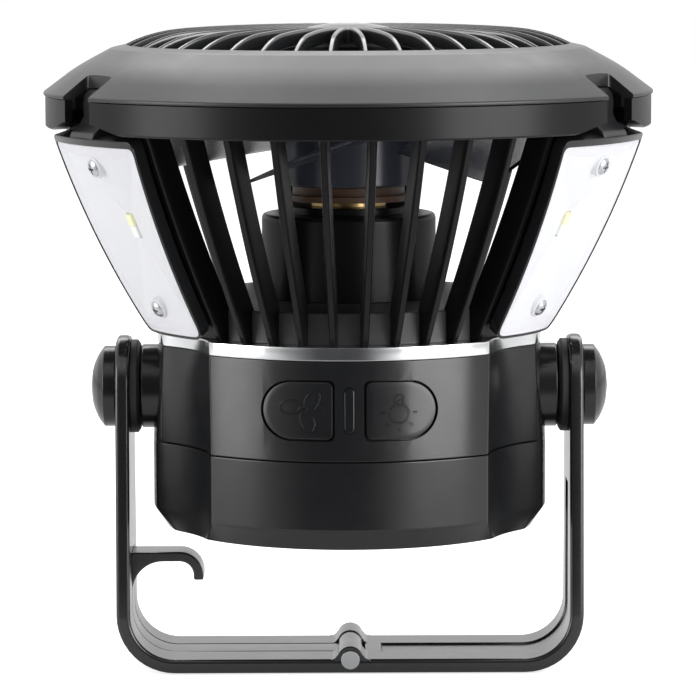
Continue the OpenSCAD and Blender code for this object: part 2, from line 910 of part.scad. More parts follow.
module cage() {
    post = 7;
    color("#191a1c") difference() {
        union() {
            for (az = vent_az) at_az(az) vent(az == 0 ? front_ribs : rear_ribs);
            difference() {
                rotate_extrude() band_outline();
                for (az = light_az) at_az(az) edge_relief();
            }
            translate([0, 0, ring_top]) difference() {
                cylinder(r = cage_wall_r, h = floor_h);
                translate([0, 0, -over]) cylinder(r = cage_wall_r - floor_t, h = floor_h - floor_t + over);
            }
            for (az = light_az) at_az(az) sector(2 * tray_half + 3)
                light_layer(light_depth, light_depth + floor_t, floor_top - floor_t, band_z + eps);
            for (az = vent_az) at_az(az) translate([0, -cage_screw_ring, deck_z])
                cylinder(d = post, h = trim_h + floor_h - eps);
        }
        for (az = light_az) at_az(az) {
            sector(2 * tray_half) light_layer(-over, light_depth, ring_top - over, floor_top - floor_t);
            notch(rim_r - rib_top[0] + rib_depth - 1, band_z - over, cover_z + over);
            for (z = lens_screw_z) on_light(z, light_depth + floor_t + over)
                cylinder(d = lens_thread_d, h = floor_t + 2 * over);
            light_lead(lead_d);
        }
        for (az = vent_az) at_az(az) translate([0, -cage_screw_ring, deck_z - over])
            cylinder(d = screw_d, h = 8 + over);
        translate([0, lead_y, floor_top - floor_t - over]) cylinder(d = lead_hole_d - 3, h = floor_t + 2 * over);
        for (az = light_az) at_az(az) translate([0, -pod_screw_ring, floor_top - floor_t - over])
            cylinder(d = screw_d, h = floor_t + 2 * over);
    }
}

module cage_screws() {
    color("#8c8f94") for (az = vent_az) at_az(az) translate([0, -cage_screw_ring, deck_z - deck_t])
        screw_up(screw_d, 9, 5);
}

module cover_outline() {
    lip_r = band_r - head_wall;
    lip_h = 2.5;
    shoulder = grille_r + 4.4;
    polygon([
        [rim_r, cover_z], [rim_r, cover_z + 0.6], [shoulder, grille_z - 1.1], [grille_r + 2, grille_z - 0.2],
        [grille_r, grille_z], [grille_r, grille_z - head_wall], [grille_r + 1.6, grille_z - head_wall - 0.2],
        [shoulder - 0.9, grille_z - head_wall - 1.1], [lip_r - 1.6, cover_z + 0.7],
        [lip_r - 1.6, cover_z - lip_h], [lip_r, cover_z - lip_h], [lip_r, cover_z]
    ]);
}

// What lies under the crown of the grille: a flat arc, and a rounder one near its edge
module crown_region() {
    crown_r = 150;
    deep = 2 * slope_h;
    mid = grille_r / 2;
    start = grille_r - 13.6;
    fall = [start - mid, crown_r - sqrt(pow(crown_r, 2) - pow(start - mid, 2))];
    up = [fall[0], crown_r - fall[1]] / crown_r;
    join = [start, crown_z - fall[1]];
    end = [grille_r + 0.6, grille_z - 0.2];
    chord = end - join;
    edge_r = -(chord * chord) / (2 * (chord * up));
    intersection() {
        translate([mid, crown_z - crown_r]) circle(r = crown_r, $fn = fine);
        translate([0, grille_z - deep]) square([start + eps, 2 * deep]);
    }
    intersection() {
        translate(join - edge_r * up) circle(r = edge_r, $fn = fine);
        translate([start, grille_z - deep]) square([end[0] - start, 2 * deep]);
    }
}

module front_cover() {
    disc_r = disc_d / 2;
    color("#222327") {
        difference() {
            rotate_extrude() cover_outline();
            for (az = light_az) at_az(az) notch(notch_depth, cover_z - 4, grille_z);
        }
        for (i = [0 : grille_ribs - 1]) at_az((i + 0.5) * 360 / grille_ribs) radial_plate(grille_t) difference() {
            intersection() {
                crown_region();
                translate([disc_r - 0.4, cover_z]) square([grille_r + 0.8 - disc_r, 2 * slope_h]);
            }
            translate([0, -grille_depth]) crown_region();
        }
        translate([0, 0, crown_z - 2.1 - grille_depth]) cylinder(r = disc_r, h = grille_depth);
    }
}

// ---- light modules -------------------------------------------------------

module tongue_outline() {
    out = light_top[0];
    bar = light_top[1];
    knuckle = [rim_r - 10.3, cover_z - 1.2];
    polygon([
        [out - 6.5, bar - light_bar + 0.2], [out - 0.9, bar - light_bar + 0.2], [out, bar], [out - 0.6, bar + 1.4],
        [out - 2.6, bar + 3.6], [knuckle[0] + tongue_r - 0.3, bar + 6], [knuckle[0] + tongue_r, knuckle[1]],
        [knuckle[0] - tongue_r, knuckle[1]], [knuckle[0] - 1.6, bar + 1.5]
    ]);
    translate(knuckle) circle(r = tongue_r);
}

module light_housing(az) {
    color("#141517") at_az(az) difference() {
        union() {
            difference() {
                union() {
                    sector(2 * light_half) light_layer(0, flange_depth, light_foot[1], light_top[1]);
                    sector(2 * tray_half) light_layer(over, light_depth, light_foot[1], light_top[1]);
                }
                sector(lens_span) light_layer(-over, lens_t, lens_foot, lens_top);
                sector(board_span) light_layer(lens_t - over, light_back, lens_foot, lens_top);
            }
            for (z = lens_screw_z) on_light(z, light_back + eps)
                cylinder(d = lens_post_d, h = light_back - lens_t + eps);
            radial_plate(tongue_w) tongue_outline();
        }
        for (z = lens_screw_z) on_light(z, light_depth + over)
            cylinder(d = lens_thread_d, h = light_depth + over);
        light_lead(lead_d);
    }
}

// A white tray whose four faces slope from the edge of the lens down to the chip
module light_reflector(az) {
    rim = lens_t + 1.6;
    slot_w = led_w + gap;
    slot_h = led_h + gap;
    foot_w = (light_foot[0] - light_back) * sin(board_span / 2) - reflector_t;
    top_w = (light_top[0] - light_back) * sin(board_span / 2) - reflector_t;
    low = led_z - lens_foot - reflector_t;
    high = lens_top - led_z - reflector_t;
    color("#e9ebee") at_az(az) difference() {
        sector(board_span) light_layer(lens_t, led_base, lens_foot, lens_top);
        on_light(led_z, 0) {
            hull() {
                translate([-foot_w, -low, -rim]) cube([2 * foot_w, over, 2 * rim]);
                translate([-top_w, high - over, -rim]) cube([2 * top_w, over, 2 * rim]);
                translate([-slot_w / 2, -slot_h / 2, led_proud - led_base]) cube([slot_w, slot_h, over]);
            }
            translate([-slot_w / 2, -slot_h / 2, -light_depth]) cube([slot_w, slot_h, light_depth]);
        }
        for (z = lens_screw_z) on_light(z, light_depth) cylinder(d = lens_post_d, h = light_depth);
    }
}

module light_board(az) {
    color("#dfe2e0") at_az(az) difference() {
        sector(board_span) light_layer(led_base, light_back, lens_foot, lens_top);
        for (z = lens_screw_z) on_light(z, light_depth) cylinder(d = lens_post_d, h = light_depth);
        light_lead(lead_d);
    }
}

module light_lens(az) {
    color("#eef1f4", 0.6) at_az(az) difference() {
        sector(lens_span) light_layer(0, lens_t, lens_foot, lens_top);
        for (z = lens_screw_z) on_light(z, 0) rotate_extrude() polygon([
            [0, -lens_t - over], [lens_thread_d / 2, -lens_t - over], [lens_thread_d / 2, -lens_seat],
            [lens_head_d / 2 + gap, -lens_seat], [lens_head_d / 2 + gap, over], [0, over]
        ]);
    }
}

module light_leds() {
    solder = 0.02;
    color("#f2e27a") for (az = light_az) at_az(az) on_light(led_z, led_base - solder)
        translate([-led_w / 2, -led_h / 2, 0]) cube([led_w, led_h, led_proud]);
}

module lens_screws() {
    color("#a9acb1") for (az = light_az, z = lens_screw_z) at_az(az) on_light(z, lens_seat) {
        translate([0, 0, lens_seat - light_depth - floor_t]) cylinder(d = lens_thread_d, h = light_depth + floor_t);
        difference() {
            cylinder(d = lens_head_d, h = 1.1);
            translate([0, 0, 0.5]) cross_slot(lens_head_d);
        }
    }
}

// The lead of one light module: inwards from its board, then down through the deck
module light_lead(d) {
    z = ring_top + 4.6;
    translate([0, -light_lead_r, z]) {
        rotate([90, 0, 0]) cylinder(d = d, h = cage_wall_r - light_lead_r + floor_t + 1.2);
        sphere(d = d);
    }
    translate([0, -light_lead_r, deck_z - 6]) cylinder(d = d, h = z - deck_z + 6);
}

module light_leads() { color("#d8d8d2") for (az = light_az) at_az(az) light_lead(lead_d); }

module light_housing_right() { light_housing(light_az[0]); }
module light_housing_back() { light_housing(light_az[1]); }
module light_housing_left() { light_housing(light_az[2]); }
module light_reflector_right() { light_reflector(light_az[0]); }
module light_reflector_back() { light_reflector(light_az[1]); }
module light_reflector_left() { light_reflector(light_az[2]); }
module light_board_right() { light_board(light_az[0]); }
module light_board_back() { light_board(light_az[1]); }
module light_board_left() { light_board(light_az[2]); }
module light_lens_right() { light_lens(light_az[0]); }
module light_lens_back() { light_lens(light_az[1]); }
module light_lens_left() { light_lens(light_az[2]); }

// ---- motor and fan -------------------------------------------------------

module motor_pod() {
    edge = 1.6;
    color("#0f1012") difference() {
        translate([0, 0, floor_top]) union() {
            difference() {
                union() {
                    cylinder(d = pod_d, h = pod_h - edge);
                    cylinder(d = pod_d - 2 * edge, h = pod_h);
                    translate([0, 0, pod_h - edge]) rotate_extrude()
                        translate([pod_d / 2 - edge, 0]) circle(r = edge);
                    cylinder(d = neck_d, h = pod_h + neck_h);
                }
                translate([0, 0, -over]) cylinder(d = pod_d - 2 * pod_wall, h = pod_h - pod_wall + over);
            }
            for (az = light_az) at_az(az) translate([0, -pod_screw_ring, 0])
                cylinder(d = 6, h = pod_h - eps);
        }
        for (az = light_az) at_az(az) translate([0, -pod_screw_ring, floor_top - over])
            cylinder(d = screw_d, h = 8 + over);
        translate([0, lead_y, pod_top - pod_wall - over]) cylinder(d = lead_hole_d - 3, h = pod_wall + neck_h + 2 * over);
    }
}

module pod_screws() {
    color("#8c8f94") for (az = light_az) at_az(az) translate([0, -pod_screw_ring, floor_top - floor_t])
        screw_up(screw_d, 9, 5);
}

module motor_board() {
    color("#6b4a2a") translate([0, 0, motor_board_z]) difference() {
        cylinder(d = motor_board_d, h = board_t);
        translate([0, 0, -over]) cylinder(d = tube_d, h = board_t + 2 * over);
    }
}

module motor_insulator() {
    h = 2.3;
    color("#59402a") translate([0, 0, insulator_z]) difference() {
        cylinder(r = stator_r + 2, h = h);
        translate([0, 0, -over]) cylinder(d = tube_d, h = h + 2 * over);
    }
}

module motor_stator() {
    color("#7d8085") translate([0, 0, core_z]) difference() {
        union() {
            cylinder(d = tube_d + 5, h = core_h);
            for (i = [0 : poles - 1]) rotate([0, 0, i * 360 / poles]) {
                translate([0, -1.2, 0]) cube([stator_r - over, 2.4, core_h]);
                intersection() {
                    difference() {
                        cylinder(r = stator_r, h = core_h);
                        translate([0, 0, -over]) cylinder(r = stator_r - 1.4, h = core_h + 2 * over);
                    }
                    translate([0, -3.6, 0]) cube([stator_r, 7.2, core_h]);
                }
            }
        }
        translate([0, 0, -over]) cylinder(d = tube_d, h = core_h + 2 * over);
    }
}

module motor_windings() {
    in = tube_d / 2 + 2.6;
    out = stator_r - 1.9;
    h = core_h + 2;
    color("#b4632d") translate([0, 0, core_z - 1]) for (i = [0 : poles - 1])
        rotate([0, 0, i * 360 / poles]) difference() {
            translate([in, -2.6, 0]) cube([out - in, 5.2, h]);
            translate([in - over, -1.2, 1]) cube([out - in + 2 * over, 2.4, core_h]);
        }
}

module bearing_tube() {
    color("#b08d4a") translate([0, 0, tube_z]) difference() {
        union() {
            cylinder(d = tube_d, h = tube_top - tube_z);
            cylinder(d = 20, h = tube_flange_t);
        }
        translate([0, 0, over]) cylinder(d = bearing_d, h = tube_top - tube_z);
    }
}

module bearings() {
    color("#9a9da2") for (z = [tube_z + over, tube_top - bearing_h]) translate([0, 0, z]) difference() {
        cylinder(d = bearing_d, h = bearing_h);
        translate([0, 0, -over]) cylinder(d = shaft_d + 2 * fit, h = bearing_h + 2 * over);
    }
}

module motor_shaft() {
    z = tube_z + over + gap;
    color("#d0d2d5") translate([0, 0, z]) cylinder(d = shaft_d, h = cup_roof + cup_wall + 2 - z);
}

module rotor_cup() {
    color("#a4a7ab") translate([0, 0, cup_z]) difference() {
        cylinder(d = cup_d, h = cup_h);
        translate([0, 0, -over]) cylinder(r = cup_in, h = cup_h - cup_wall + over);
        cylinder(d = shaft_d, h = cup_h + over);
    }
}

module magnet_ring() {
    color("#3a3b3e") translate([0, 0, cup_z + over]) difference() {
        cylinder(r = cup_in, h = cup_h - cup_wall - 2 * over);
        translate([0, 0, -over]) cylinder(r = cup_in - magnet_t, h = cup_h);
    }
}

module blade() {
    half = blade_span / 2;
    reach = fan_r * 1.5;
    intersection() {
        difference() {
            translate([0, 0, hub_z]) linear_extrude(height = hub_h + 5) intersection() {
                circle(r = fan_r);
                polygon([[0, 0], reach * [sin(-half), -cos(-half)], reach * [0, -1],
                    reach * [sin(half), -cos(half)]]);
            }
            translate([0, 0, hub_z - over]) cylinder(d = hub_d - 2, h = 2 * hub_h);
        }
        translate([0, 0, blade_z]) rotate([0, -blade_pitch, 0])
            translate([-fan_r, -fan_d, -blade_t / 2]) cube([fan_d, fan_d, blade_t]);
    }
}

module fan_rotor() {
    edge = 3;
    color("#2a2d36") {
        difference() {
            translate([0, 0, hub_z]) union() {
                cylinder(d = hub_d, h = hub_h - edge);
                cylinder(d = hub_d - 2 * edge, h = hub_h);
                translate([0, 0, hub_h - edge]) rotate_extrude()
                    translate([hub_d / 2 - edge, 0]) circle(r = edge);
            }
            translate([0, 0, hub_z - over]) cylinder(d = cup_d, h = cup_z + cup_h - hub_z + over);
            cylinder(d = shaft_d, h = cup_roof + cup_wall + 2);
        }
        for (i = [0 : blades - 1]) at_az(blade_start + blade_span / 2 + i * 360 / blades) blade();
    }
}

stand();
hook_arm();
hinge_pin();
pivot_washers();
pivot_screws();
pivot_inserts();
pivot_caps();
lower_housing();
upper_housing();
base_screws();
trim_ring();
cage();
cage_screws();
front_cover();
light_housing_right();
light_housing_back();
light_housing_left();
light_reflector_right();
light_reflector_back();
light_reflector_left();
light_board_right();
light_board_back();
light_board_left();
light_lens_right();
light_lens_back();
light_lens_left();
light_leds();
lens_screws();
light_leads();
fan_button();
light_button();
fan_plunger();
light_plunger();
tact_switches();
switch_board();
board_screws();
light_pipe();
main_board();
usb_socket();
battery_holder();
battery_cells();
battery_tabs();
power_leads();
motor_pod();
pod_screws();
motor_board();
motor_insulator();
motor_stator();
motor_windings();
bearing_tube();
bearings();
motor_shaft();
rotor_cup();
magnet_ring();
fan_rotor();
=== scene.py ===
"""Looks of the portable camping fan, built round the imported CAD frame.

Sizes are in millimetres and become metres where a mesh is made. An azimuth of 0 is the front
(-Y) and grows towards +X, as in part.scad.
"""

import json
from math import acos, asin, atan2, cos, degrees, hypot, inf, pi, radians, sin, sqrt, tan

import bmesh
import bpy
from mathutils import Matrix, Vector


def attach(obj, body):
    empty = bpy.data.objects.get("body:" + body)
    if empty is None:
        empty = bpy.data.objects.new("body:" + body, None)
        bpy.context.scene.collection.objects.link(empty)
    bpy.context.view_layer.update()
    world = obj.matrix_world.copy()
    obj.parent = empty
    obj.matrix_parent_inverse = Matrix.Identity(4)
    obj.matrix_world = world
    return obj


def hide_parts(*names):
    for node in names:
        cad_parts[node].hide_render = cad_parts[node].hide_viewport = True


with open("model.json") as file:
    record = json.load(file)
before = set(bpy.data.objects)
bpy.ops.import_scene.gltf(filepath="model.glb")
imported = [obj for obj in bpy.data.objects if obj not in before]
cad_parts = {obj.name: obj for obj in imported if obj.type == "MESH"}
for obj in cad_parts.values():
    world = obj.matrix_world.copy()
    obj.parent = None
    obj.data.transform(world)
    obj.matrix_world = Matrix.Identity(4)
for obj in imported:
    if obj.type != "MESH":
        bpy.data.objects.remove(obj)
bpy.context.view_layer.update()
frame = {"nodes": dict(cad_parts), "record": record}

# ---- main sizes, as in part.scad -------------------------------------------------

MM = 0.001
BASE_Z, SEAM_Z, DECK_Z, RING_TOP = 39.0, 62.7, 88.9, 92.5
FLOOR_TOP, BAND_Z, COVER_Z, GRILLE_Z, CROWN_Z = 101.0, 147.5, 156.0, 169.5, 174.9
BASE_R, BASE_TOP_R, RIM_R, GRILLE_R, DISC_R = 53.5, 51.9, 82.25, 59.6, 12.0
PIVOT_Z, EAR_IN, EAR_OUT, EAR_D = 76.4, 59.4, 63.2, 27.8
STRAP_W, STRAP_BEND, SLOT_HALF, HINGE_Z = 36.0, 15.8, 5.7, 3.8
POD_R, NECK_R, POD_TOP = 23.6, 16.6, 123.7
HUB_R, HUB_Z, FAN_R = 20.0, 131.5, 55.0
BLADES, FIRST_BLADE, BLADE_SPAN, BLADE_PITCH = 5, 73, 64, 19
SCOOP_HALF, SCOOP_FLOOR = 17.0, 48.0
NOTCH_HALF, COVER_NOTCH, BAND_NOTCH = 7.25, 7.6, 12.2
GRILLE_RIBS, FRONT_RIBS, REAR_RIBS, VENT_SPAN = 42, 10, 8, 86.4
BUTTON_IN, BUTTON_OUT, BUTTON_R, BUTTON_Z = 4.3, 22.6, 7.45, 76.0
PIPE_R, PIPE_RUN = 1.25, 4.65
LIGHT_AZ = {"right": 60, "back": 180, "left": 300}
VENT_AZ = (0, 120, 240)
SIDES = (-1, 1)


# ---- node materials --------------------------------------------------------------

MOTTLE_SCALE, GLOSS_SCALE, GLOSS_SPREAD = 45.0, 160.0, 0.05
METAL_SCALE, METAL_EDGE = 220.0, 0.15
BUMP_DEPTH, BRUSH_DEPTH = 0.0001, 0.00005


def new_material(name):
    """A material with its node tree and its shader."""
    material = bpy.data.materials.new(name)
    material.use_nodes = True
    tree = material.node_tree
    return material, tree, tree.nodes["Principled BSDF"]


def add(tree, kind, inputs=None, **settings):
    """One node, with its settings and its inputs' values or links."""
    node = tree.nodes.new("ShaderNode" + kind)
    for key, value in settings.items():
        setattr(node, key, value)
    for key, value in (inputs or {}).items():
        if isinstance(value, bpy.types.NodeSocket):
            tree.links.new(value, node.inputs[key])
        else:
            node.inputs[key].default_value = value
    return node


def noise(tree, scale, detail=3.0):
    """Noise in the object's own coordinates, about one feature every 1/scale metres."""
    coords = add(tree, "TexCoord")
    inputs = {"Vector": coords.outputs["Object"], "Scale": scale, "Detail": detail}
    return add(tree, "TexNoise", inputs).outputs["Fac"]


def blended(tree, factor, low, high):
    """A colour between two others."""
    mix = add(tree, "Mix", {"Factor": factor}, data_type="RGBA")
    for socket, colour in zip([s for s in mix.inputs if s.type == "RGBA"], (low, high)):
        socket.default_value = [min(1, c) for c in colour] + [1]
    return next(s for s in mix.outputs if s.type == "RGBA")


def ranged(tree, factor, low, high):
    """A value between two others."""
    return add(tree, "MapRange", {"Value": factor, "To Min": low, "To Max": high}).outputs["Result"]


def larger(tree, a, b):
    """The larger of two values."""
    return add(tree, "Math", {0: a, 1: b}, operation="MAXIMUM").outputs[0]


def plastic(name, colour, roughness, grain=0.0, grain_scale=9000.0, mottle=0.12, edge=0.0, level=0.5):
    """Moulded plastic: slightly uneven colour and gloss, and a fine moulded grain."""
    material, tree, shader = new_material(name)
    shader.inputs["Specular IOR Level"].default_value = level
    low, high = [c * (1 - mottle) for c in colour], [c * (1 + mottle) for c in colour]
    tree.links.new(blended(tree, noise(tree, MOTTLE_SCALE), low, high), shader.inputs["Base Color"])
    patches = noise(tree, GLOSS_SCALE, 5.0)
    gloss = ranged(tree, patches, roughness - GLOSS_SPREAD, roughness + GLOSS_SPREAD)
    tree.links.new(gloss, shader.inputs["Roughness"])
    normal = None
    if edge:
        normal = add(tree, "Bevel", {"Radius": edge * MM}, samples=4).outputs["Normal"]
    if grain:
        bump = {"Height": noise(tree, grain_scale, 2.0), "Strength": grain, "Distance": BUMP_DEPTH}
        if normal:
            bump["Normal"] = normal
        normal = add(tree, "Bump", bump).outputs["Normal"]
    if normal:
        tree.links.new(normal, shader.inputs["Normal"])
    return material


def metal(name, colour, roughness, brushed=0.0):
    """Bare metal with fine uneven gloss, and brush marks round the Z axis if asked."""
    material, tree, shader = new_material(name)
    shader.inputs["Metallic"].default_value = 1.0
    patches = noise(tree, METAL_SCALE, 4.0)
    tone = blended(tree, patches, [c * 0.9 for c in colour], [c * 1.06 for c in colour])
    tree.links.new(tone, shader.inputs["Base Color"])
    gloss = ranged(tree, patches, roughness * 0.7, roughness * 1.3)
    tree.links.new(gloss, shader.inputs["Roughness"])
    normal = add(tree, "Bevel", {"Radius": METAL_EDGE * MM}, samples=4).outputs["Normal"]
    if brushed:
        coords = add(tree, "TexCoord").outputs["Object"]
        stretched = add(tree, "Mapping", {"Vector": coords, "Scale": (60, 60, 9000)}).outputs["Vector"]
        lines = add(tree, "TexNoise", {"Vector": stretched, "Scale": 1.0, "Detail": 3.0}).outputs["Fac"]
        bump = {"Height": lines, "Strength": brushed, "Distance": BRUSH_DEPTH, "Normal": normal}
        normal = add(tree, "Bump", bump).outputs["Normal"]
    tree.links.new(normal, shader.inputs["Normal"])
    return material


def clear_lens(name):
    """Clear acrylic: mostly see-through, less so at grazing angles."""
    material, tree, shader = new_material(name)
    shader.inputs["Base Color"].default_value = (0.95, 0.96, 0.97, 1)
    shader.inputs["IOR"].default_value = 1.49
    tree.links.new(ranged(tree, noise(tree, 300.0), 0.03, 0.07), shader.inputs["Roughness"])
    facing = add(tree, "LayerWeight", {"Blend": 0.35}).outputs["Facing"]
    tree.links.new(ranged(tree, facing, 0.04, 0.25), shader.inputs["Alpha"])
    return material


SATIN = plastic("satin_black", (0.0115, 0.0118, 0.0128), 0.36, grain=0.10, grain_scale=5200)
GLOSS = plastic("gloss_black", (0.0075, 0.0078, 0.0085), 0.22, grain=0.03, grain_scale=2500)
STAND = plastic("stand_black", (0.010, 0.0102, 0.0108), 0.2, grain=0.05, grain_scale=2500, level=0.7)
CAGE = plastic("cage_black", (0.005, 0.0051, 0.0056), 0.3, grain=0.05, grain_scale=4200, level=0.22)
FLOOR = plastic("cage_floor_black", (0.03, 0.03, 0.032), 0.45, grain=0.05, grain_scale=4200)
GRILLE = plastic("grille_black", (0.022, 0.0225, 0.024), 0.19, grain=0.02, level=1.0)
# The disc's lighter grey is painted sheen: it stands in for the bright reflection on the disc's top.
DISC_PAINTED_SHEEN = plastic("grille_disc_painted_sheen", (0.10, 0.10, 0.105), 0.14, level=1.0)
BLADE = plastic("blade_slate", (0.034, 0.037, 0.050), 0.24, grain=0.02, edge=0.3)
MATTE = plastic("soft_black", (0.012, 0.012, 0.013), 0.55, grain=0.15, edge=0.3)
POD = plastic("pod_black", (0.004, 0.004, 0.005), 0.3, grain=0.35, grain_scale=700, level=0.25)
WHITE = plastic("reflector_white", (0.60, 0.60, 0.63), 0.35, grain=0.05, mottle=0.01)
BOARD_WHITE = plastic("white_board", (0.72, 0.73, 0.72), 0.45, grain=0.1)
NYLON = plastic("nylon", (0.78, 0.77, 0.72), 0.5, grain=0.1, edge=0.2)
BOARD = plastic("green_board", (0.02, 0.12, 0.05), 0.35, grain=0.2, grain_scale=1500)
PHENOLIC = plastic("phenolic", (0.075, 0.033, 0.014), 0.5, grain=0.2, mottle=0.3)
WIRE = plastic("wire_cover", (0.35, 0.02, 0.02), 0.4)
CELL = plastic("cell_wrap", (0.03, 0.11, 0.28), 0.3, grain=0.05)
PIPE = plastic("light_pipe", (0.007, 0.0075, 0.008), 0.15)
CHIP_YELLOW = plastic("chip_phosphor", (0.85, 0.83, 0.36), 0.3, grain=0.1, mottle=0.04)
CHIP_WHITE = plastic("chip_white", (0.86, 0.87, 0.80), 0.3, mottle=0.02)
SILVER = metal("polished_trim", (0.86, 0.87, 0.88), 0.16, brushed=0.04)
SCREW = metal("zinc_screw", (0.55, 0.56, 0.58), 0.25)
STEEL = metal("steel", (0.5, 0.51, 0.53), 0.3, brushed=0.2)
BRASS = metal("brass", (0.72, 0.5, 0.22), 0.3)
COPPER = metal("copper_wire", (0.72, 0.3, 0.12), 0.35)
MAGNET = metal("magnet", (0.12, 0.12, 0.13), 0.5)
LENS = clear_lens("clear_lens")

NODE_MATERIALS = {
    "stand_plastic": STAND, "shell_plastic": GLOSS, "cage_plastic": CAGE, "blade_plastic": BLADE,
    "soft_plastic": MATTE, "nylon": NYLON, "reflector_plastic": WHITE, "lens_plastic": LENS,
    "ring_metal": SILVER, "screw_steel": SCREW, "steel": STEEL, "magnet": MAGNET, "copper": COPPER,
    "brass_metal": BRASS, "board": BOARD, "white_board": BOARD_WHITE, "phenolic": PHENOLIC,
    "led": CHIP_YELLOW, "pipe_plastic": PIPE, "cell_wrap": CELL, "nickel": STEEL, "wire_cover": WIRE,
}

for part in frame["record"]["subparts"]:
    for slot in frame["nodes"][part["node"]].material_slots:
        slot.link = "OBJECT"
        slot.material = NODE_MATERIALS[part["material_slot"]]


# ---- mesh helpers ----------------------------------------------------------------


def mesh_of(name, solid):
    """A mesh from (verts, faces), with its doubles merged and its faces turned outwards."""
    mesh = bpy.data.meshes.new(name)
    mesh.from_pydata([tuple(c * MM for c in v) for v in solid[0]], [], solid[1])
    work = bmesh.new()
    work.from_mesh(mesh)
    bmesh.ops.remove_doubles(work, verts=work.verts, dist=1e-6)
    bmesh.ops.dissolve_degenerate(work, edges=work.edges, dist=1e-7)
    bmesh.ops.recalc_face_normals(work, faces=work.faces)
    if work.calc_volume(signed=True) < 0:
        bmesh.ops.reverse_faces(work, faces=work.faces)
    work.to_mesh(mesh)
    work.free()
    return mesh


def cut(obj, cutters):
    """Takes closed cutters off an object, all in one step."""
    work = bmesh.new()
    for cutter in cutters:
        work.from_mesh(mesh_of("cutter", cutter))
    tool = bpy.data.objects.new("cutters", bpy.data.meshes.new("cutters"))
    work.to_mesh(tool.data)
    work.free()
    bpy.context.collection.objects.link(tool)
    change = obj.modifiers.new("cut", "BOOLEAN")
    change.operation, change.solver, change.object, change.use_self = "DIFFERENCE", "EXACT", tool, True
    graph = bpy.context.evaluated_depsgraph_get()
    mesh = bpy.data.meshes.new_from_object(obj.evaluated_get(graph))
    obj.modifiers.clear()
    obj.data = mesh
    bpy.data.objects.remove(tool)


def piece(name, solid, material, body="head", replaces=(), cutters=(), edge=0.0, sharp=35):
    """An object from a closed solid, less its cutters, with softened edges, riding on a body."""
    obj = bpy.data.objects.new(name, mesh_of(name, solid))
    bpy.context.collection.objects.link(obj)
    if cutters:
        cut(obj, cutters)
    mesh = obj.data
    mesh.shade_smooth()
    mesh.set_sharp_from_angle(angle=radians(sharp))
    mesh.materials.clear()
    mesh.materials.append(material)
    if edge:
        change = obj.modifiers.new("bevel", "BEVEL")
        change.width, change.segments, change.limit_method = edge * MM, 2, "ANGLE"
        change.angle_limit, change.use_clamp_overlap = radians(45), True
    change = obj.modifiers.new("normals", "WEIGHTED_NORMAL")
    change.keep_sharp = True
    if body:
        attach(obj, body)
    for node in replaces:
        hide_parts(node)
    return obj


def spaced(start, end, steps):
    """Evenly spaced values with both ends."""
    return [start + (end - start) * i / steps for i in range(steps + 1)]


def full_turn(steps):
    """Evenly spaced angles of one full turn."""
    return [2 * pi * i / steps for i in range(steps)]


def join(*parts):
    """Several (verts, faces) as one."""
    verts, faces = [], []
    for v, f in parts:
        faces += [[i + len(verts) for i in face] for face in f]
        verts += v
    return verts, faces


def loft(rings, loop=False):
    """Skins rings of equally many points: joins the last to the first, or caps both ends."""
    n = len(rings[0])
    verts = [p for ring in rings for p in ring]
    faces = []
    for i in range(len(rings) if loop else len(rings) - 1):
        a, b = i * n, (i + 1) % len(rings) * n
        faces += [[a + j, a + (j + 1) % n, b + (j + 1) % n, b + j] for j in range(n)]
    if not loop:
        faces += [list(range(n - 1, -1, -1)), list(range(len(verts) - n, len(verts)))]
    return verts, faces


def bend(start, corner, end, t):
    """A point of the curve that cuts a corner."""
    return tuple((1 - t) ** 2 * start + 2 * t * (1 - t) * corner + t ** 2 * end)


def rounded(points, radius, steps=4):
    """A closed outline with its corners rounded. radius is a number or one for each corner."""
    out = []
    for i, p in enumerate(points):
        r = radius[i] if isinstance(radius, list) else radius
        corner = Vector(p)
        a, b = Vector(points[i - 1]) - corner, Vector(points[(i + 1) % len(points)]) - corner
        half = a.angle(b) / 2
        if r <= 0 or half > radians(88):
            out.append(tuple(p))
            continue
        reach = min(r / tan(half), a.length * 0.49, b.length * 0.49)
        start, end = corner + a.normalized() * reach, corner + b.normalized() * reach
        out += [bend(start, corner, end, t) for t in spaced(0, 1, steps)]
    return out


def polar(r, az, z):
    """A point at a radius, an azimuth in degrees and a height."""
    return r * sin(radians(az)), -r * cos(radians(az)), z


def lathe(profile, steps=180, start=0.0, end=360.0):
    """Turns a closed (radius, height) outline, all round or from one azimuth to another."""
    full = end - start >= 360
    turns = spaced(start, end, steps)
    rings = [[polar(r, az, z) for r, z in profile] for az in (turns[:-1] if full else turns)]
    return loft(rings, loop=full)


def prism(outline, low, high):
    """Extrudes an (x, y) outline from one height to another."""
    return loft([[(x, y, z) for x, y in outline] for z in (low, high)])


def plate(outline, near, far):
    """Extrudes an (x, z) outline from one y to another."""
    return loft([[(x, y, z) for x, z in outline] for y in (near, far)])


def block(x0, x1, y0, y1, z0, z1):
    """A box."""
    return prism([(x0, y0), (x1, y0), (x1, y1), (x0, y1)], z0, z1)


def turned(solid, az):
    """A solid made at the front, turned to an azimuth."""
    return placed(Matrix.Rotation(radians(az), 4, "Z"), solid)


def placed(matrix, solid):
    """A solid moved by a matrix."""
    return [tuple(matrix @ Vector(v)) for v in solid[0]], solid[1]


def smooth_step(a, b, t):
    """Rises softly from 0 at a to 1 at b."""
    t = min(1, max(0, (t - a) / (b - a)))
    return t * t * (3 - 2 * t)


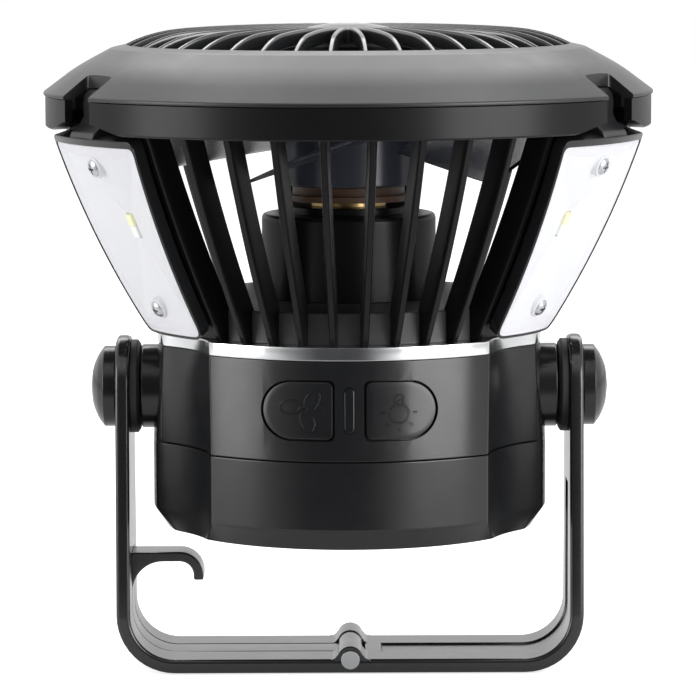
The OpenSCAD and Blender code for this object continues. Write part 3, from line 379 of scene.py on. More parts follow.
class Bow:
    """A bowed arc through two (radius, height) points, and layers at a depth under it."""

    def __init__(self, top, foot, sag):
        """Takes its two ends and how far it bows outwards between them."""
        top, foot = Vector(top), Vector(foot)
        half = (top - foot).length / 2
        self.r = (half ** 2 + sag ** 2) / (2 * sag)
        out = Vector((top.y - foot.y, foot.x - top.x)) / (2 * half)
        self.mid = (top + foot) / 2 - (self.r - sag) * out

    def at(self, z, depth=0.0):
        """The point of the layer that stands square under the arc's point at height z."""
        rise = (z - self.mid.y) / self.r
        run = sqrt(1 - rise ** 2)
        return self.mid.x + (self.r - depth) * run, self.mid.y + (self.r - depth) * rise


LIGHT_FOOT, LIGHT_TOP = 92.9, 146.2
LIGHT = Bow((RIM_R - 1.4, LIGHT_TOP), (55.2, LIGHT_FOOT), 1.77)
RIB = Bow((RIM_R - 5.8, BAND_Z), (BASE_TOP_R - 1.9, RING_TOP), 1.2)


# ---- front cover and cage --------------------------------------------------------

CROWN_R = 150.0
CROWN_FLAT = GRILLE_R - 13.6
CROWN_DIP, DIP_START, DIP_SPAN = 0.9, 11, 49
RIB_HALF, RIB_DEPTH = 0.68, 3.9
CAGE_RIB_HALF, CAGE_RIB_DEPTH = 1.1, 7.4
BAR_RING = rounded([(-1, 0), (1, 0), (1, 1), (-1, 1)], [0.45, 0.45, 0.12, 0.12], 3)


def crown(r):
    """Height of the grille's crown at a radius: a flat arc, and a rounder one near its edge."""
    mid = GRILLE_R / 2
    if r <= CROWN_FLAT:
        return CROWN_Z - CROWN_R + sqrt(CROWN_R ** 2 - (r - mid) ** 2)
    fall = CROWN_R - sqrt(CROWN_R ** 2 - (CROWN_FLAT - mid) ** 2)
    up = Vector((CROWN_FLAT - mid, CROWN_R - fall)) / CROWN_R
    joint, end = Vector((CROWN_FLAT, CROWN_Z - fall)), Vector((GRILLE_R + 0.6, GRILLE_Z - 0.2))
    edge_r = -(end - joint).length_squared / (2 * (end - joint).dot(up))
    centre = joint - edge_r * up
    return centre.y + sqrt(max(0, edge_r ** 2 - (r - centre.x) ** 2))


def radial_bar(az, stations, half, section):
    """A bar in a radial plane. section(d, station) gives its (radius, height), d across it."""
    a = radians(az)
    rings = []
    for station in stations:
        ring = []
        for t, d in BAR_RING:
            r, z = section(d, station)
            ring.append((r * sin(a) + t * half * cos(a), -r * cos(a) + t * half * sin(a), z))
        rings.append(ring)
    return loft(rings)


def at_lights(solid):
    """A solid made at the front, once at each light module."""
    return [turned(solid, az) for az in LIGHT_AZ.values()]


def notches(depth, low, high):
    """The cutters for the three notches in the rim."""
    floor = depth - RIM_R
    corners = [(-NOTCH_HALF, -90), (NOTCH_HALF, -90), (NOTCH_HALF, floor), (-NOTCH_HALF, floor)]
    return at_lights(prism(rounded(corners, [0, 0, 1.2, 1.2]), low, high))


def front_cover():
    """Rim slope with its notches, and the domed grille of radial ribs round a disc."""
    shoulder, lip = GRILLE_R + 4.4, RIM_R - 3.6
    swell = ((RIM_R + shoulder) / 2 + 0.4, (COVER_Z + GRILLE_Z) / 2 + 0.65)
    outline = rounded([
        (RIM_R - 0.1, COVER_Z + 0.05), (RIM_R, COVER_Z + 0.9), swell, (shoulder, GRILLE_Z - 1.0),
        (GRILLE_R, GRILLE_Z), (GRILLE_R, GRILLE_Z - 2.2), (shoulder - 1, GRILLE_Z - 3.3),
        (lip, COVER_Z + 0.7), (lip, COVER_Z - 2.5), (lip + 1.6, COVER_Z - 2.5), (lip + 1.6, COVER_Z + 0.05),
    ], [0.3, 1.3, 60, 4, 0.5, 0.4, 2, 0.5, 0.3, 0.3, 0.2], 8)
    piece("front_cover_rim", lathe(outline, 360), SATIN, cutters=notches(COVER_NOTCH, 150, 175), edge=0.45,
          replaces=["front_cover"])

    def section(d, r):
        """A place of a grille rib, which dips between the disc and the rim."""
        dip = CROWN_DIP * sin(pi * min(1, (r - DIP_START) / DIP_SPAN))
        return r, crown(r) - dip - RIB_DEPTH * d

    stations = spaced(DISC_R - 0.4, GRILLE_R + 0.4, 18)
    bars = [radial_bar((i + 0.5) * 360 / GRILLE_RIBS, stations, RIB_HALF, section)
            for i in range(GRILLE_RIBS)]
    piece("front_cover_grille", join(*bars), GRILLE)
    top = CROWN_Z - 0.05
    # The disc's material carries painted sheen, a lighter grey for the reflection on its top.
    disc = rounded([(0.01, top), (6, top - 0.2), (DISC_R, top - 1.3), (DISC_R, top - 5), (0.01, top - 5)],
                   [0, 9, 0.6, 0.6, 0], 5)
    piece("front_cover_disc", lathe(disc, 96), DISC_PAINTED_SHEEN)


def bowed(az, ring, heights, limit=inf):
    """Skins an (azimuth, depth) outline along the light modules' bow, up to a limit in height."""
    rings = []
    for z in heights:
        places = [(turn, *LIGHT.at(z, depth)) for turn, depth in ring]
        rings.append([polar(r, az + turn, min(height, limit)) for turn, r, height in places])
    return loft(rings)


def cage():
    """Ribs between the floor and the rim band, and the walls behind the light modules."""
    def section(d, z):
        """A place of a cage rib, which ends in the rim band."""
        r, height = RIB.at(z, CAGE_RIB_DEPTH * d)
        return r, min(height, BAND_Z + 0.6)

    bars, stations = [], spaced(87.5, 148.5, 14)
    for vent in VENT_AZ:
        ribs = REAR_RIBS if vent else FRONT_RIBS
        for off in spaced(-0.5, 0.5, ribs - 1):
            bars.append(radial_bar(vent + off * VENT_SPAN, stations, CAGE_RIB_HALF, section))
    piece("cage_ribs", join(*bars), CAGE, replaces=["cage"])

    outer, inner, lip, lip_z = RIM_R - 0.5, RIM_R - 2.7, 68.2, 149.5
    outline = rounded([
        (outer, COVER_Z - 0.1), (outer, BAND_Z + 0.4), (outer - 0.5, BAND_Z), (lip, BAND_Z), (lip, lip_z),
        (inner, lip_z), (inner, COVER_Z - 0.1),
    ], [0.25, 0.4, 0.2, 0.4, 0.4, 1.2, 0.25], 4)
    wedge = [(-20.5, 146.5), (20.5, 146.5), (20.5, BAND_Z), (8.75, 150.1), (-8.75, 150.1), (-20.5, BAND_Z)]
    cutters = notches(BAND_NOTCH, 146, 158) + at_lights(plate(wedge, -90, -74))
    piece("cage_band", lathe(outline, 360), CAGE, cutters=cutters, edge=0.4)

    wall, skirt, under = 47.5, 45.5, FLOOR_TOP - 2
    outline = rounded([
        (0.01, FLOOR_TOP), (wall, FLOOR_TOP), (wall, RING_TOP),
        (skirt, RING_TOP), (skirt, under), (0.01, under),
    ], [0, 0.6, 0.2, 0.2, 0.5, 0], 4)
    piece("cage_floor", lathe(outline, 180), FLOOR)
    ring = [(a, 8.65) for a in spaced(-16.4, 16.4, 10)] + [(a, 10.6) for a in spaced(16.2, -16.2, 10)]
    walls = [bowed(az, ring, spaced(95.5, lip_z, 12), BAND_Z + 0.5) for az in LIGHT_AZ.values()]
    piece("cage_walls", join(*walls), CAGE)


front_cover()
cage()


# ---- light modules ---------------------------------------------------------------

LIGHT_HALF = 16.6
LIGHT_BAR = 1.3
CHIP_Z, CHIP_DEPTH = RING_TOP + 27.9, 6.2
SCREW_Z = (LIGHT_TOP - 8.3, LIGHT_FOOT + 6.9)
SIDE_STEPS, CORNER_STEPS = 14, 5


def panel_ring(az, inset, depth, dish=0.0, bar=LIGHT_BAR):
    """A rounded outline round a light module, inset from its edge and by a bar more at its top.

    Its depth grows inwards by dish.
    """
    def half(z):
        """Half the module's width at a height."""
        low, high = LIGHT.at(LIGHT_FOOT)[0], LIGHT.at(LIGHT_TOP)[0]
        return (low + (high - low) * (z - LIGHT_FOOT) / (LIGHT_TOP - LIGHT_FOOT)) * radians(LIGHT_HALF)

    low, high = LIGHT_FOOT + inset, LIGHT_TOP - inset - bar
    foot, top = half(low) - inset, half(high) - inset
    corners = [(-foot, low), (foot, low), (top, high), (-top, high)]
    ring = rounded(corners, [max(0.3, c - inset) for c in (4.5, 4.5, 2.2, 2.2)], CORNER_STEPS)
    out = []
    for i, p in enumerate(ring):
        q = ring[(i + 1) % len(ring)]
        steps = 1 if (i + 1) % (CORNER_STEPS + 1) else SIDE_STEPS
        for k in range(steps):
            x, z = p[0] + (q[0] - p[0]) * k / steps, p[1] + (q[1] - p[1]) * k / steps
            r, height = LIGHT.at(z, depth + dish * (1 - (x / half(z)) ** 2))
            out.append(polar(r, az + x / half(z) * LIGHT_HALF, height))
    return out


def chip_ring(az, half_w, half_h, depth):
    """The outline round a chip, with its points matched to those of a panel_ring."""
    corners = [(-half_w, -half_h), (half_w, -half_h), (half_w, half_h), (-half_w, half_h)]
    points = []
    for i, p in enumerate(corners):
        q = corners[(i + 1) % 4]
        points += [p] * CORNER_STEPS
        points += [(p[0] + (q[0] - p[0]) * k / SIDE_STEPS, p[1] + (q[1] - p[1]) * k / SIDE_STEPS)
                   for k in range(SIDE_STEPS)]
    return [tuple(on_light(az, CHIP_Z, depth) @ Vector((x, y, 0))) for x, y in points]


def on_light(az, z, depth):
    """The matrix of a place on a light module's middle line, with its local Z axis square out of it."""
    r, height = LIGHT.at(z, depth)
    lean = asin((z - LIGHT.mid.y) / LIGHT.r)
    return (Matrix.Rotation(radians(az), 4, "Z") @ Matrix.Translation((0, -r, height))
            @ Matrix.Rotation(pi / 2 - lean, 4, "X"))


def light_tray(side, az):
    """Black tray with its recessed back and its snap tongue."""
    rings = [panel_ring(az, inset, depth, 0, 0) for inset, depth in (
        (6, 8.0), (1.9, 5.6), (0.5, 4.4), (0, 3.8), (0, 0.45), (0.1, 0.12), (0.28, 0))]
    rings += [panel_ring(az, inset, depth) for inset, depth in (
        (0.5, 0.03), (0.65, 0.2), (0.75, 3.4), (6, 7.8))]
    piece("light_tray_" + side, loft(rings), GLOSS, replaces=["light_housing_" + side])
    outer, inner, back, inside, front = 14.6, 13.8, 8.6, 8.0, 3.6
    ring = rounded([
        (-outer, back), (outer, back), (outer, front), (inner, front),
        (inner, inside), (-inner, inside), (-inner, front), (-outer, front),
    ], [1.2, 1.2, 0, 0, 0.6, 0.6, 0, 0])
    piece("light_back_" + side, bowed(az, ring, spaced(LIGHT_FOOT + 1.2, LIGHT_TOP - 1.2, 12)), GLOSS)
    top = RIM_R - 1.4
    outline = rounded([
        (top - 6.4, 144.6), (top - 1.6, 144.9), (top - 0.3, 146.4), (top - 1, 147.8), (top - 3.4, 149.8),
        (top - 4.5, 151.8), (top - 4.3, 155.0), (top - 5.0, 158.2), (top - 8.2, 159.4), (top - 11.6, 158.4),
        (top - 13.3, 155.4), (top - 13.1, 152.3), (top - 10.5, 147.7),
    ], [0.5, 0.4, 0.7, 2, 2, 2, 3, 3, 3, 3, 3, 3, 2], 5)
    tongue = loft([[(x, -r, z) for r, z in outline] for x in (-6.7, 6.7)])
    piece("light_tongue_" + side, turned(tongue, az), SATIN, edge=0.5)


def light_panel(side, az):
    """White faceted reflector, two-part chip and clear lens."""
    rings = [panel_ring(az, inset, depth, dish) for inset, depth, dish in (
        (6, 7.5, 0), (1.5, 3.2, 0), (0.7, 1.0, 0), (0.7, 0.36, 0), (1.0, 0.34, 0.3))]
    rings += [chip_ring(az, 1.75, 3.7, 5.9), chip_ring(az, 1.7, 3.6, 6.6)]
    piece("light_reflector_" + side + "_facets", loft(rings), WHITE, sharp=6,
          replaces=["light_reflector_" + side, "light_board_" + side])
    for low, high, name, paint in ((-3.3, -0.05, "white", CHIP_WHITE), (0.05, 3.3, "yellow", CHIP_YELLOW)):
        ring = rounded([(-1.4, low), (1.4, low), (1.4, high), (-1.4, high)], 0.3)
        mid = (low + high) / 2
        chip = loft([[(x * k, y * k + mid * (1 - k), out) for x, y in ring]
                     for out, k in ((-0.5, 1), (0.9, 1), (1.05, 0.92))])
        piece("led_" + side + "_" + name, placed(on_light(az, CHIP_Z, CHIP_DEPTH), chip), paint,
              replaces=["light_leds"])
    back = [(12, 1.1), (9, 1.1), (6, 1.1), (3, 1.1)]
    front = [(0.9, 0.95), (0.9, 0.4), (1.0, 0.3), (1.3, 0.25), (3, 0.25), (6, 0.25), (9, 0.25), (12, 0.25)]
    rings = [panel_ring(az, inset, depth, 0.6) for inset, depth in back + front]
    lens = loft([chip_ring(az, 0.6, 12.5, 1.7)] + rings + [chip_ring(az, 0.6, 12.5, 0.85)])
    piece("light_lens_" + side + "_shell", lens, LENS, sharp=60, replaces=["light_lens_" + side])


def lens_screws(side, az):
    """The two posts of a lens with their cross-head screws."""
    post = lathe(rounded([(0.01, 0), (3.0, 0), (3.1, -5), (0.01, -5)], [0, 0.3, 0, 0]), 32)
    head = lathe(rounded([(0.01, 1.15), (1.7, 0.95), (2.4, 0.3), (2.4, -0.1), (0.01, -0.1)],
                         [0, 0.8, 0.3, 0, 0]), 32)
    long, wide, low, high = 1.45, 0.3, 0.45, 2
    cross = [block(-long, long, -wide, wide, low, high), block(-wide, wide, -long, long, low, high)]
    seats = [on_light(az, z, LIGHT_BAR) for z in SCREW_Z]
    piece("light_posts_" + side, join(*[placed(seat, post) for seat in seats]), WHITE)
    piece("lens_screw_heads_" + side, join(*[placed(seat, head) for seat in seats]), SCREW,
          cutters=[placed(seat, arm) for seat in seats for arm in cross], replaces=["lens_screws"])


for side, az in LIGHT_AZ.items():
    light_tray(side, az)
    light_panel(side, az)
    lens_screws(side, az)


# ---- housing ---------------------------------------------------------------------

SCOOP_MID = (BASE_R ** 2 - SCOOP_FLOOR ** 2) / (2 * (BASE_R * cos(radians(SCOOP_HALF)) - SCOOP_FLOOR))
SCOOP_R = SCOOP_MID - SCOOP_FLOOR


def plan(r, z, inset=0.0, soft=0.7):
    """The housing's outline: a circle with three round scoops, inset, with its corners softened."""
    r, scoop_r = r - inset, SCOOP_R + inset

    def scoop(off):
        """Radius of a scoop's wall at an angle from its middle."""
        a = radians(off)
        return SCOOP_MID * cos(a) - sqrt(scoop_r ** 2 - (SCOOP_MID * sin(a)) ** 2)

    kink = degrees(acos((r * r + SCOOP_MID ** 2 - scoop_r ** 2) / (2 * r * SCOOP_MID)))
    reach = degrees(soft / r)
    out = []
    for az in LIGHT_AZ.values():
        inner = [polar(scoop(off), az + off, z) for off in spaced(reach - kink, kink - reach, 16)]
        outer = [polar(r, az + off, z) for off in spaced(kink + reach, 120 - kink - reach, 24)]
        before, low, high = (Vector(polar(r, az + off, z)) for off in (-kink - reach, -kink, kink))
        out += [bend(before, low, Vector(inner[0]), t) for t in (0.25, 0.5, 0.75)] + inner
        out += [bend(Vector(inner[-1]), high, Vector(outer[0]), t) for t in (0.25, 0.5, 0.75)] + outer
    return out


def planned(*rings, soft=0.7):
    """Skins the housing's outline at several (radius, height, inset) steps."""
    return loft([plan(r, z, inset, soft) for r, z, inset in rings])


def wall_r(z):
    """Radius of the housing's round wall at a height."""
    return BASE_R - (BASE_R - BASE_TOP_R) * max(0, z - SEAM_Z) / (DECK_Z - SEAM_Z)


def on_front(x, z, out=0.0):
    """A point on the housing's front wall, moved outwards."""
    return x, -sqrt((wall_r(z) + out) ** 2 - x * x), z


def button_outline(side, grow):
    """A button's D shape as (x, z): straight towards the middle, round outwards."""
    left, mid, r = BUTTON_IN - grow, BUTTON_OUT - BUTTON_R, BUTTON_R + grow
    start = left + 1.3
    points = [(start, r), (left + 0.4, r - 0.4), (left, r - 1.3)]
    points += [(x, -z) for x, z in reversed(points)]
    points += [(x, -r) for x in spaced(start, mid, 8)[1:-1]]
    points += [(mid + r * sin(a), -r * cos(a)) for a in spaced(0, pi, 28)]
    points += [(x, r) for x in spaced(mid, start, 8)[1:-1]]
    return [(side * x, BUTTON_Z + z) for x, z in points]


def pipe_outline(grow):
    """The light pipe's long round shape as (x, z)."""
    half = PIPE_R + grow
    points = [(half * cos(a), PIPE_RUN + half * sin(a)) for a in spaced(0, pi, 10)]
    points += [(half * cos(a), half * sin(a) - PIPE_RUN) for a in spaced(pi, 2 * pi, 10)]
    return [(x, BUTTON_Z + z) for x, z in points]


def flush(outline, steps):
    """A plug in the front wall: the outline at several (scale, outward) steps."""
    cx = sum(x for x, z in outline) / len(outline)
    cz = sum(z for x, z in outline) / len(outline)
    return loft([[on_front(cx + (x - cx) * k, cz + (z - cz) * k, out) for x, z in outline]
                 for k, out in steps])


def recess(outline, depth):
    """A cutter into the front wall, with both its ends following the wall's curve."""
    return flush(outline, ((0.02, -depth), (0.5, -depth), (1, -depth), (1, 1.5), (0.5, 1.5), (0.02, 1.5)))


def ridge(path, half=0.3, height=0.3, closed=True):
    """A raised line on the front wall along an (x, z) path."""
    section = ((-1.3, -1.2), (-0.9, 0.35), (-0.4, 1), (0.4, 1), (0.9, 0.35), (1.3, -1.2))
    rings = []
    n = len(path)
    for i, (x, z) in enumerate(path):
        a = path[i - 1] if closed or i else (x, z)
        b = path[(i + 1) % n] if closed or i < n - 1 else (x, z)
        d = Vector((b[0] - a[0], b[1] - a[1])).normalized()
        rings.append([on_front(x - d.y * t * half, z + d.x * t * half, out * height) for t, out in section])
    return loft(rings, loop=closed)


def oval(cx, cz, a, b, turn, n=28):
    """An ellipse as an (x, z) path."""
    c, s = cos(radians(turn)), sin(radians(turn))
    return [(cx + a * cos(t) * c - b * sin(t) * s, cz + a * cos(t) * s + b * sin(t) * c)
            for t in full_turn(n)]


def fan_sign():
    """Three blades round a hub, as raised lines."""
    return join(*[ridge(path) for path in (
        oval(-15.5, 76.9, 2.7, 1.75, 8), oval(-9.7, 78.3, 2.7, 1.8, 62), oval(-10.9, 73.0, 2.7, 1.75, -68),
        oval(-11.9, 76.2, 0.8, 0.8, 0, 16))])


def bulb_sign():
    """A light bulb with its foot up and five rays, as raised lines."""
    cx, cz, r = 13.0, 75.1, 2.45
    neck = [(cx - 0.95, cz + 2.7), (cx + 0.95, cz + 2.7)]
    bulb = [(cx + r * sin(radians(a)), cz - r * cos(radians(a))) for a in spaced(-146, 146, 24)]
    low, high = cz + 2.2, cz + 4.9
    foot = rounded([(cx - 1, low), (cx + 1, low), (cx + 1.05, high), (cx - 1.05, high)], 0.9)
    signs = [ridge(neck[:1] + bulb + neck[1:], closed=False), ridge(foot)]
    signs.append(ridge([(cx - 0.5, cz + 3.2), (cx + 0.5, cz + 3.9)], 0.2, 0.2, closed=False))
    for turn in (176, 222, 270, 318, 364):
        c, s = cos(radians(turn)), sin(radians(turn))
        signs.append(ridge([(cx + c * k, cz + s * k) for k in (3.7, 4.2, 4.7)], closed=False))
    return join(*signs)


def on_axis(profile, side, steps):
    """Turns a closed (radius, distance from the middle) outline round the tilt axis, on one side."""
    return loft([[(side * x, r * sin(a), PIVOT_Z + r * cos(a)) for r, x in profile]
                 for a in full_turn(steps)], loop=True)


def both_sides(profile, steps=96):
    """The same outline turned round the tilt axis on both sides."""
    return join(*[on_axis(profile, side, steps) for side in SIDES])


def sector(low, high, start, end, outer=70.0, inner=0.01):
    """A turned sector between two heights, as a cutter."""
    outline = [(inner, low), (outer, low), (outer, high), (inner, high)]
    return lathe(outline, max(6, int((end - start) / 4)), start, end)


def housing():
    """Lower and upper housing with their seam, ears, pivot bosses, trim ring and socket."""
    post_x, post_y, hole_r = 35.3, 21.8, 2.5
    holes = [prism([(x + hole_r * cos(a), y + hole_r * sin(a)) for a in full_turn(24)], 36, 50)
             for x in (-post_x, post_x) for y in (-post_y, post_y)]
    lower = planned(
        (49.5, BASE_Z, 0.25), (49.85, BASE_Z + 0.15, 0), (53.2, 44.0, 0), (53.46, 44.5, 0), (BASE_R, 45.0, 0),
        (BASE_R, 62.15, 0), (BASE_R, 62.4, 0.08), (BASE_R, 62.48, 0.5))
    piece("lower_shell", lower, GLOSS, cutters=holes, replaces=["lower_housing"])

    upper = planned(
        (BASE_R, 62.74, 0.5), (BASE_R, 62.82, 0.08), (53.49, 63.05, 0), (51.93, 88.3, 0),
        (BASE_TOP_R, 88.7, 0.04), (BASE_TOP_R, DECK_Z, 0.3))
    cutters = [sector(60, 76.5, az - 15, az + 15, inner=44) for az in (90, 270)]
    cutters += [recess(button_outline(side, grow=0.5), depth=2.0) for side in SIDES]
    cutters.append(recess(pipe_outline(grow=0.22), depth=1.2))
    socket_hole = rounded([(-4.9, 71.3), (4.9, 71.3), (4.9, 75.1), (-4.9, 75.1)], 1.85, 6)
    cutters.append(plate(socket_hole, 44, 60))
    piece("upper_shell", upper, GLOSS, cutters=cutters, replaces=["upper_housing"])

    ears = planned(
        (BASE_R, 60, 0.5), (53.46, 62.5, 0.02), (53.4, 64, 0), (wall_r(75), 75, 0),
        (wall_r(76.2), 76.2, 0.02), (52.6, 76.35, 0.3))
    away = [sector(58, 78, -75.2, 75.2), sector(58, 78, 104.8, 255.2), sector(58, 78, 0, 360, 46)]
    piece("ears", ears, GLOSS, cutters=away)
    boss = rounded([(0.01, 40), (11.4, 40), (11.4, 56.4), (0.01, 56.4)], [0, 0, 0.5, 0])
    piece("bosses", both_sides(boss), GLOSS)

    trim = planned(
        (BASE_TOP_R, 88.85, 0.3), (52.05, 89.0, 0), (52.15, 89.4, 0), (52.15, 91.9, 0), (52.0, 92.35, 0),
        (51.8, RING_TOP, 0.1), soft=1.6)
    piece("trim", trim, SILVER, replaces=["trim_ring"])
    mouth = rounded([(-4.5, 71.6), (4.5, 71.6), (4.5, 74.8), (-4.5, 74.8)], 1.55, 6)
    mid = 73.2
    shell = [[(x * k, y, mid + (z - mid) * k) for x, z in mouth]
             for k, y in ((1, 46), (1, 52.2), (0.9, 52.2), (0.9, 47))]
    tongue = block(-3.3, 3.3, 46.6, 51.6, 72.9, 73.5)
    piece("charging_socket", join(loft(shell), tongue), STEEL, replaces=["usb_socket"])


def buttons():
    """Both push buttons with their raised signs, and the light pipe between them."""
    cap = [(1, -2.4), (1, -0.45), (0.985, -0.12), (0.955, 0.02)]
    cap += [(k, 0.02) for k in (0.8, 0.6, 0.4, 0.2, 0.03)]
    for side, name, sign in ((-1, "fan", fan_sign()), (1, "light", bulb_sign())):
        body = name + "_button"
        piece(body + "_cap", flush(button_outline(side, 0), cap), GLOSS, body, replaces=[body])
        piece(body + "_sign", sign, GLOSS, body)
    window = [(1, -1.6), (1, -0.1)] + [(k, 0.03) for k in (0.9, 0.7, 0.4, 0.1)]
    piece("pipe_window", flush(pipe_outline(0), window), PIPE, replaces=["light_pipe"])


housing()
buttons()


# ---- stand, hook and pivots ------------------------------------------------------


def offset(points, distance):
    """A closed outline moved inwards by a small distance."""
    out = []
    for i, p in enumerate(points):
        a, b = points[i - 1], points[(i + 1) % len(points)]
        d = Vector((b[0] - a[0], b[1] - a[1])).normalized()
        out.append((p[0] - d.y * distance, p[1] + d.x * distance))
    return out


def arc(cx, cz, r, start, end, steps=12):
    """Points of an arc, its angles in degrees."""
    return [(cx + r * cos(radians(a)), cz + r * sin(radians(a))) for a in spaced(start, end, steps)]


def across(outline, half, soft, middle=0.0):
    """Extrudes an anticlockwise (x, z) outline along Y about a middle, with softened edges."""
    slight = soft * 0.3
    steps = ((-half, soft), (slight - half, slight), (soft - half, 0), (half - soft, 0),
             (half - slight, slight), (half, soft))
    return loft([[(x, middle + y, z) for x, z in offset(outline, inset)] for y, inset in steps])


def stand():
    """The bent strap with its round ears, slot, channel, hinge lugs and pin."""
    mid, ear, foot, thick = (EAR_IN + EAR_OUT) / 2, EAR_D / 2, STRAP_W / 2, (EAR_OUT - EAR_IN) / 2
    turn, dome = STRAP_BEND - thick, 1.3
    path = []
    for a in [pi / 2 * (1 - i / 16) ** 1.3 for i in range(16)]:
        fall = max(0, dome - ear * (1 - sin(a)))
        path.append((-mid, PIVOT_Z + ear * sin(a), (-1, 0), max(0.25, ear * cos(a)),
                     thick - dome + sqrt(dome ** 2 - fall ** 2)))
    for t in spaced(0, 1, 6)[:-1]:
        path.append((-mid, PIVOT_Z - (PIVOT_Z - STRAP_BEND) * t, (-1, 0), ear + (foot - ear) * t, thick))
    for a in spaced(0, pi / 2, 12):
        path.append((STRAP_BEND - EAR_OUT - turn * cos(a), STRAP_BEND - turn * sin(a), (-cos(a), -sin(a)),
                     foot, thick))
    path += [(-x, z, (-n[0], n[1]), w, t) for x, z, n, w, t in reversed(path)]
    rings = []
    for x, z, n, w, half in path:
        shape = rounded([(-half, -w), (half, -w), (half, w), (-half, w)], 1.15)
        rings.append([(x + n[0] * t, y, z + n[1] * t) for t, y in shape])
    slot = block(-70, 3.9, -SLOT_HALF, SLOT_HALF, -2, 31.6)
    channel = [(8.6, 3.3)] + arc(47.4, STRAP_BEND, 12.5, -90, 0) + [(59.9, 50), (57, 50)]
    channel += arc(47.4, STRAP_BEND, 9, 0, -90) + [(8.6, 6.8)]
    cutters = [slot, plate(channel, -SLOT_HALF, SLOT_HALF)]
    piece("strap", loft(rings), STAND, "base", cutters=cutters, edge=0.3, replaces=["stand"])

    lug = [(5.6, 3.0), (5.5, 3.8)] + arc(5.45, 5.7, 2, -90, -155, 5) + arc(0, HINGE_Z, 3.6, 20, 160, 16)
    lug += arc(-5.45, 5.7, 2, -25, -90, 5) + [(-5.5, 3.8), (-5.6, 3.0)]
    piece("lugs", join(*[across(lug, 6.15, 0.4, side * 11.85) for side in SIDES]), STAND, "base")
    pin = rounded([(0.01, 18.75), (2.3, 18.6), (2.45, 17.9), (0.01, 17.9)], [0, 0.4, 0, 0])
    heads = [loft([[(r * cos(a), side * y, HINGE_Z + r * sin(a)) for r, y in pin] for a in full_turn(32)],
                  loop=True) for side in SIDES]
    piece("pin_heads", join(*heads), GLOSS, "base")


def hook():
    """The folded hook: an arm in the stand's slot and a curled tongue."""
    outline = [(-50.4, 0.3), (-25, 0.3), (0, 0.3)] + arc(0, HINGE_Z, 3.3, -80, 175, 18)
    outline += [(-4.5, 3.8), (-25, 3.8)] + arc(-47.4, STRAP_BEND, 12, -90, -180, 14) + [(-59.4, 18)]
    outline += arc(-51.1, 20.3, 8.3, 180, 90) + [(-48.5, 28.6)] + arc(-46.5, 24.8, 3.8, 90, 0, 10)
    outline += [(-42.7, 23.9), (-42.4, 23.5), (-40.3, 23.5), (-40, 23.9)]
    outline += arc(-46.5, 24.8, 6.5, 0, 90, 14) + [(-52, 31.3), (-62.8, 31.3), (-63.2, 30.9), (-63.2, 22)]
    outline += arc(-47.4, STRAP_BEND, STRAP_BEND, 180, 257)
    piece("hook_body", across(outline, 5.4, 0.5), STAND, "hook", replaces=["hook_arm"])


def pivots():
    """Friction washers and domed caps on the tilt axis."""
    washer = rounded([(5, 56.75), (11.6, 56.75), (12.7, 57.5), (12.7, EAR_IN), (5, EAR_IN)],
                     [0, 0.5, 0.5, 0.3, 0])
    piece("washer_discs", both_sides(washer), MATTE, "base", replaces=["pivot_washers"])
    cap = rounded([
        (0.01, 70.4), (5.5, 69.75), (9.0, 68.15), (11, 66.6), (11, 63.6), (10.7, EAR_OUT), (0.01, EAR_OUT),
    ], [0, 16, 8, 0.35, 0.3, 0.2, 0], 5)
    piece("cap_domes", both_sides(cap, 128), GLOSS, "base", replaces=["pivot_caps"])


stand()
hook()
pivots()


# ---- motor pod and rotor ---------------------------------------------------------


def motor_pod():
    """The pod under the rotor, with its neck."""
    outline = rounded([
        (0.01, FLOOR_TOP), (POD_R, FLOOR_TOP), (POD_R, POD_TOP), (NECK_R, POD_TOP), (NECK_R, POD_TOP + 2),
        (0.01, POD_TOP + 2),
    ], [0, 0.3, 1.6, 0.3, 0.4, 0], 5)
    piece("pod", lathe(outline, 128), POD, replaces=["motor_pod"])


def blade(az):
    """One swept blade with thinned edges and a rounded tip."""
    steps, tip_step, tip_steps = 14, 12, 2.4
    root, middle_z, thickest, bow = HUB_R - 0.6, 144.33, 0.8, 0.9
    rings = []
    for t in spaced(-1, 1, 2 * steps):
        thick = thickest * sqrt(max(0.03, 1 - t ** 6))
        upper, lower = [], []
        for k, r in enumerate(spaced(root, FAN_R, steps)):
            tip = sqrt(max(0, 1 - (max(0, k - tip_step) / tip_steps) ** 2))
            off = t * BLADE_SPAN / 2 * (1 if k < tip_step else 0.97 + 0.03 * tip)
            x, y = polar(r, off, 0)[:2]
            rise = bow * (1 - t * t) * (r - HUB_R + 1) / (FAN_R - HUB_R + 1)
            z = middle_z + x * tan(radians(BLADE_PITCH)) + rise
            edge = thick * (0.4 + 0.6 * tip)
            upper.append((x, y, z + edge))
            lower.append((x, y, z - edge))
        rings.append(upper + lower[::-1])
    return turned(loft(rings), az)


def rotor():
    """Rounded hub and its blades."""
    top, under, inner = HUB_Z + 23, HUB_Z + 18, 17.6
    hub = rounded([(0.01, top), (HUB_R, top), (HUB_R, HUB_Z), (inner, HUB_Z), (inner, under), (0.01, under)],
                  [0, 3.2, 0.6, 0.3, 0.5, 0], 6)
    piece("hub", lathe(hub, 128), BLADE, "rotor", replaces=["fan_rotor"])
    blades = [blade(FIRST_BLADE + 360 / BLADES * i) for i in range(BLADES)]
    piece("blades", join(*blades), BLADE, "rotor", sharp=50)


motor_pod()
rotor()


# ---- studio ----------------------------------------------------------------------

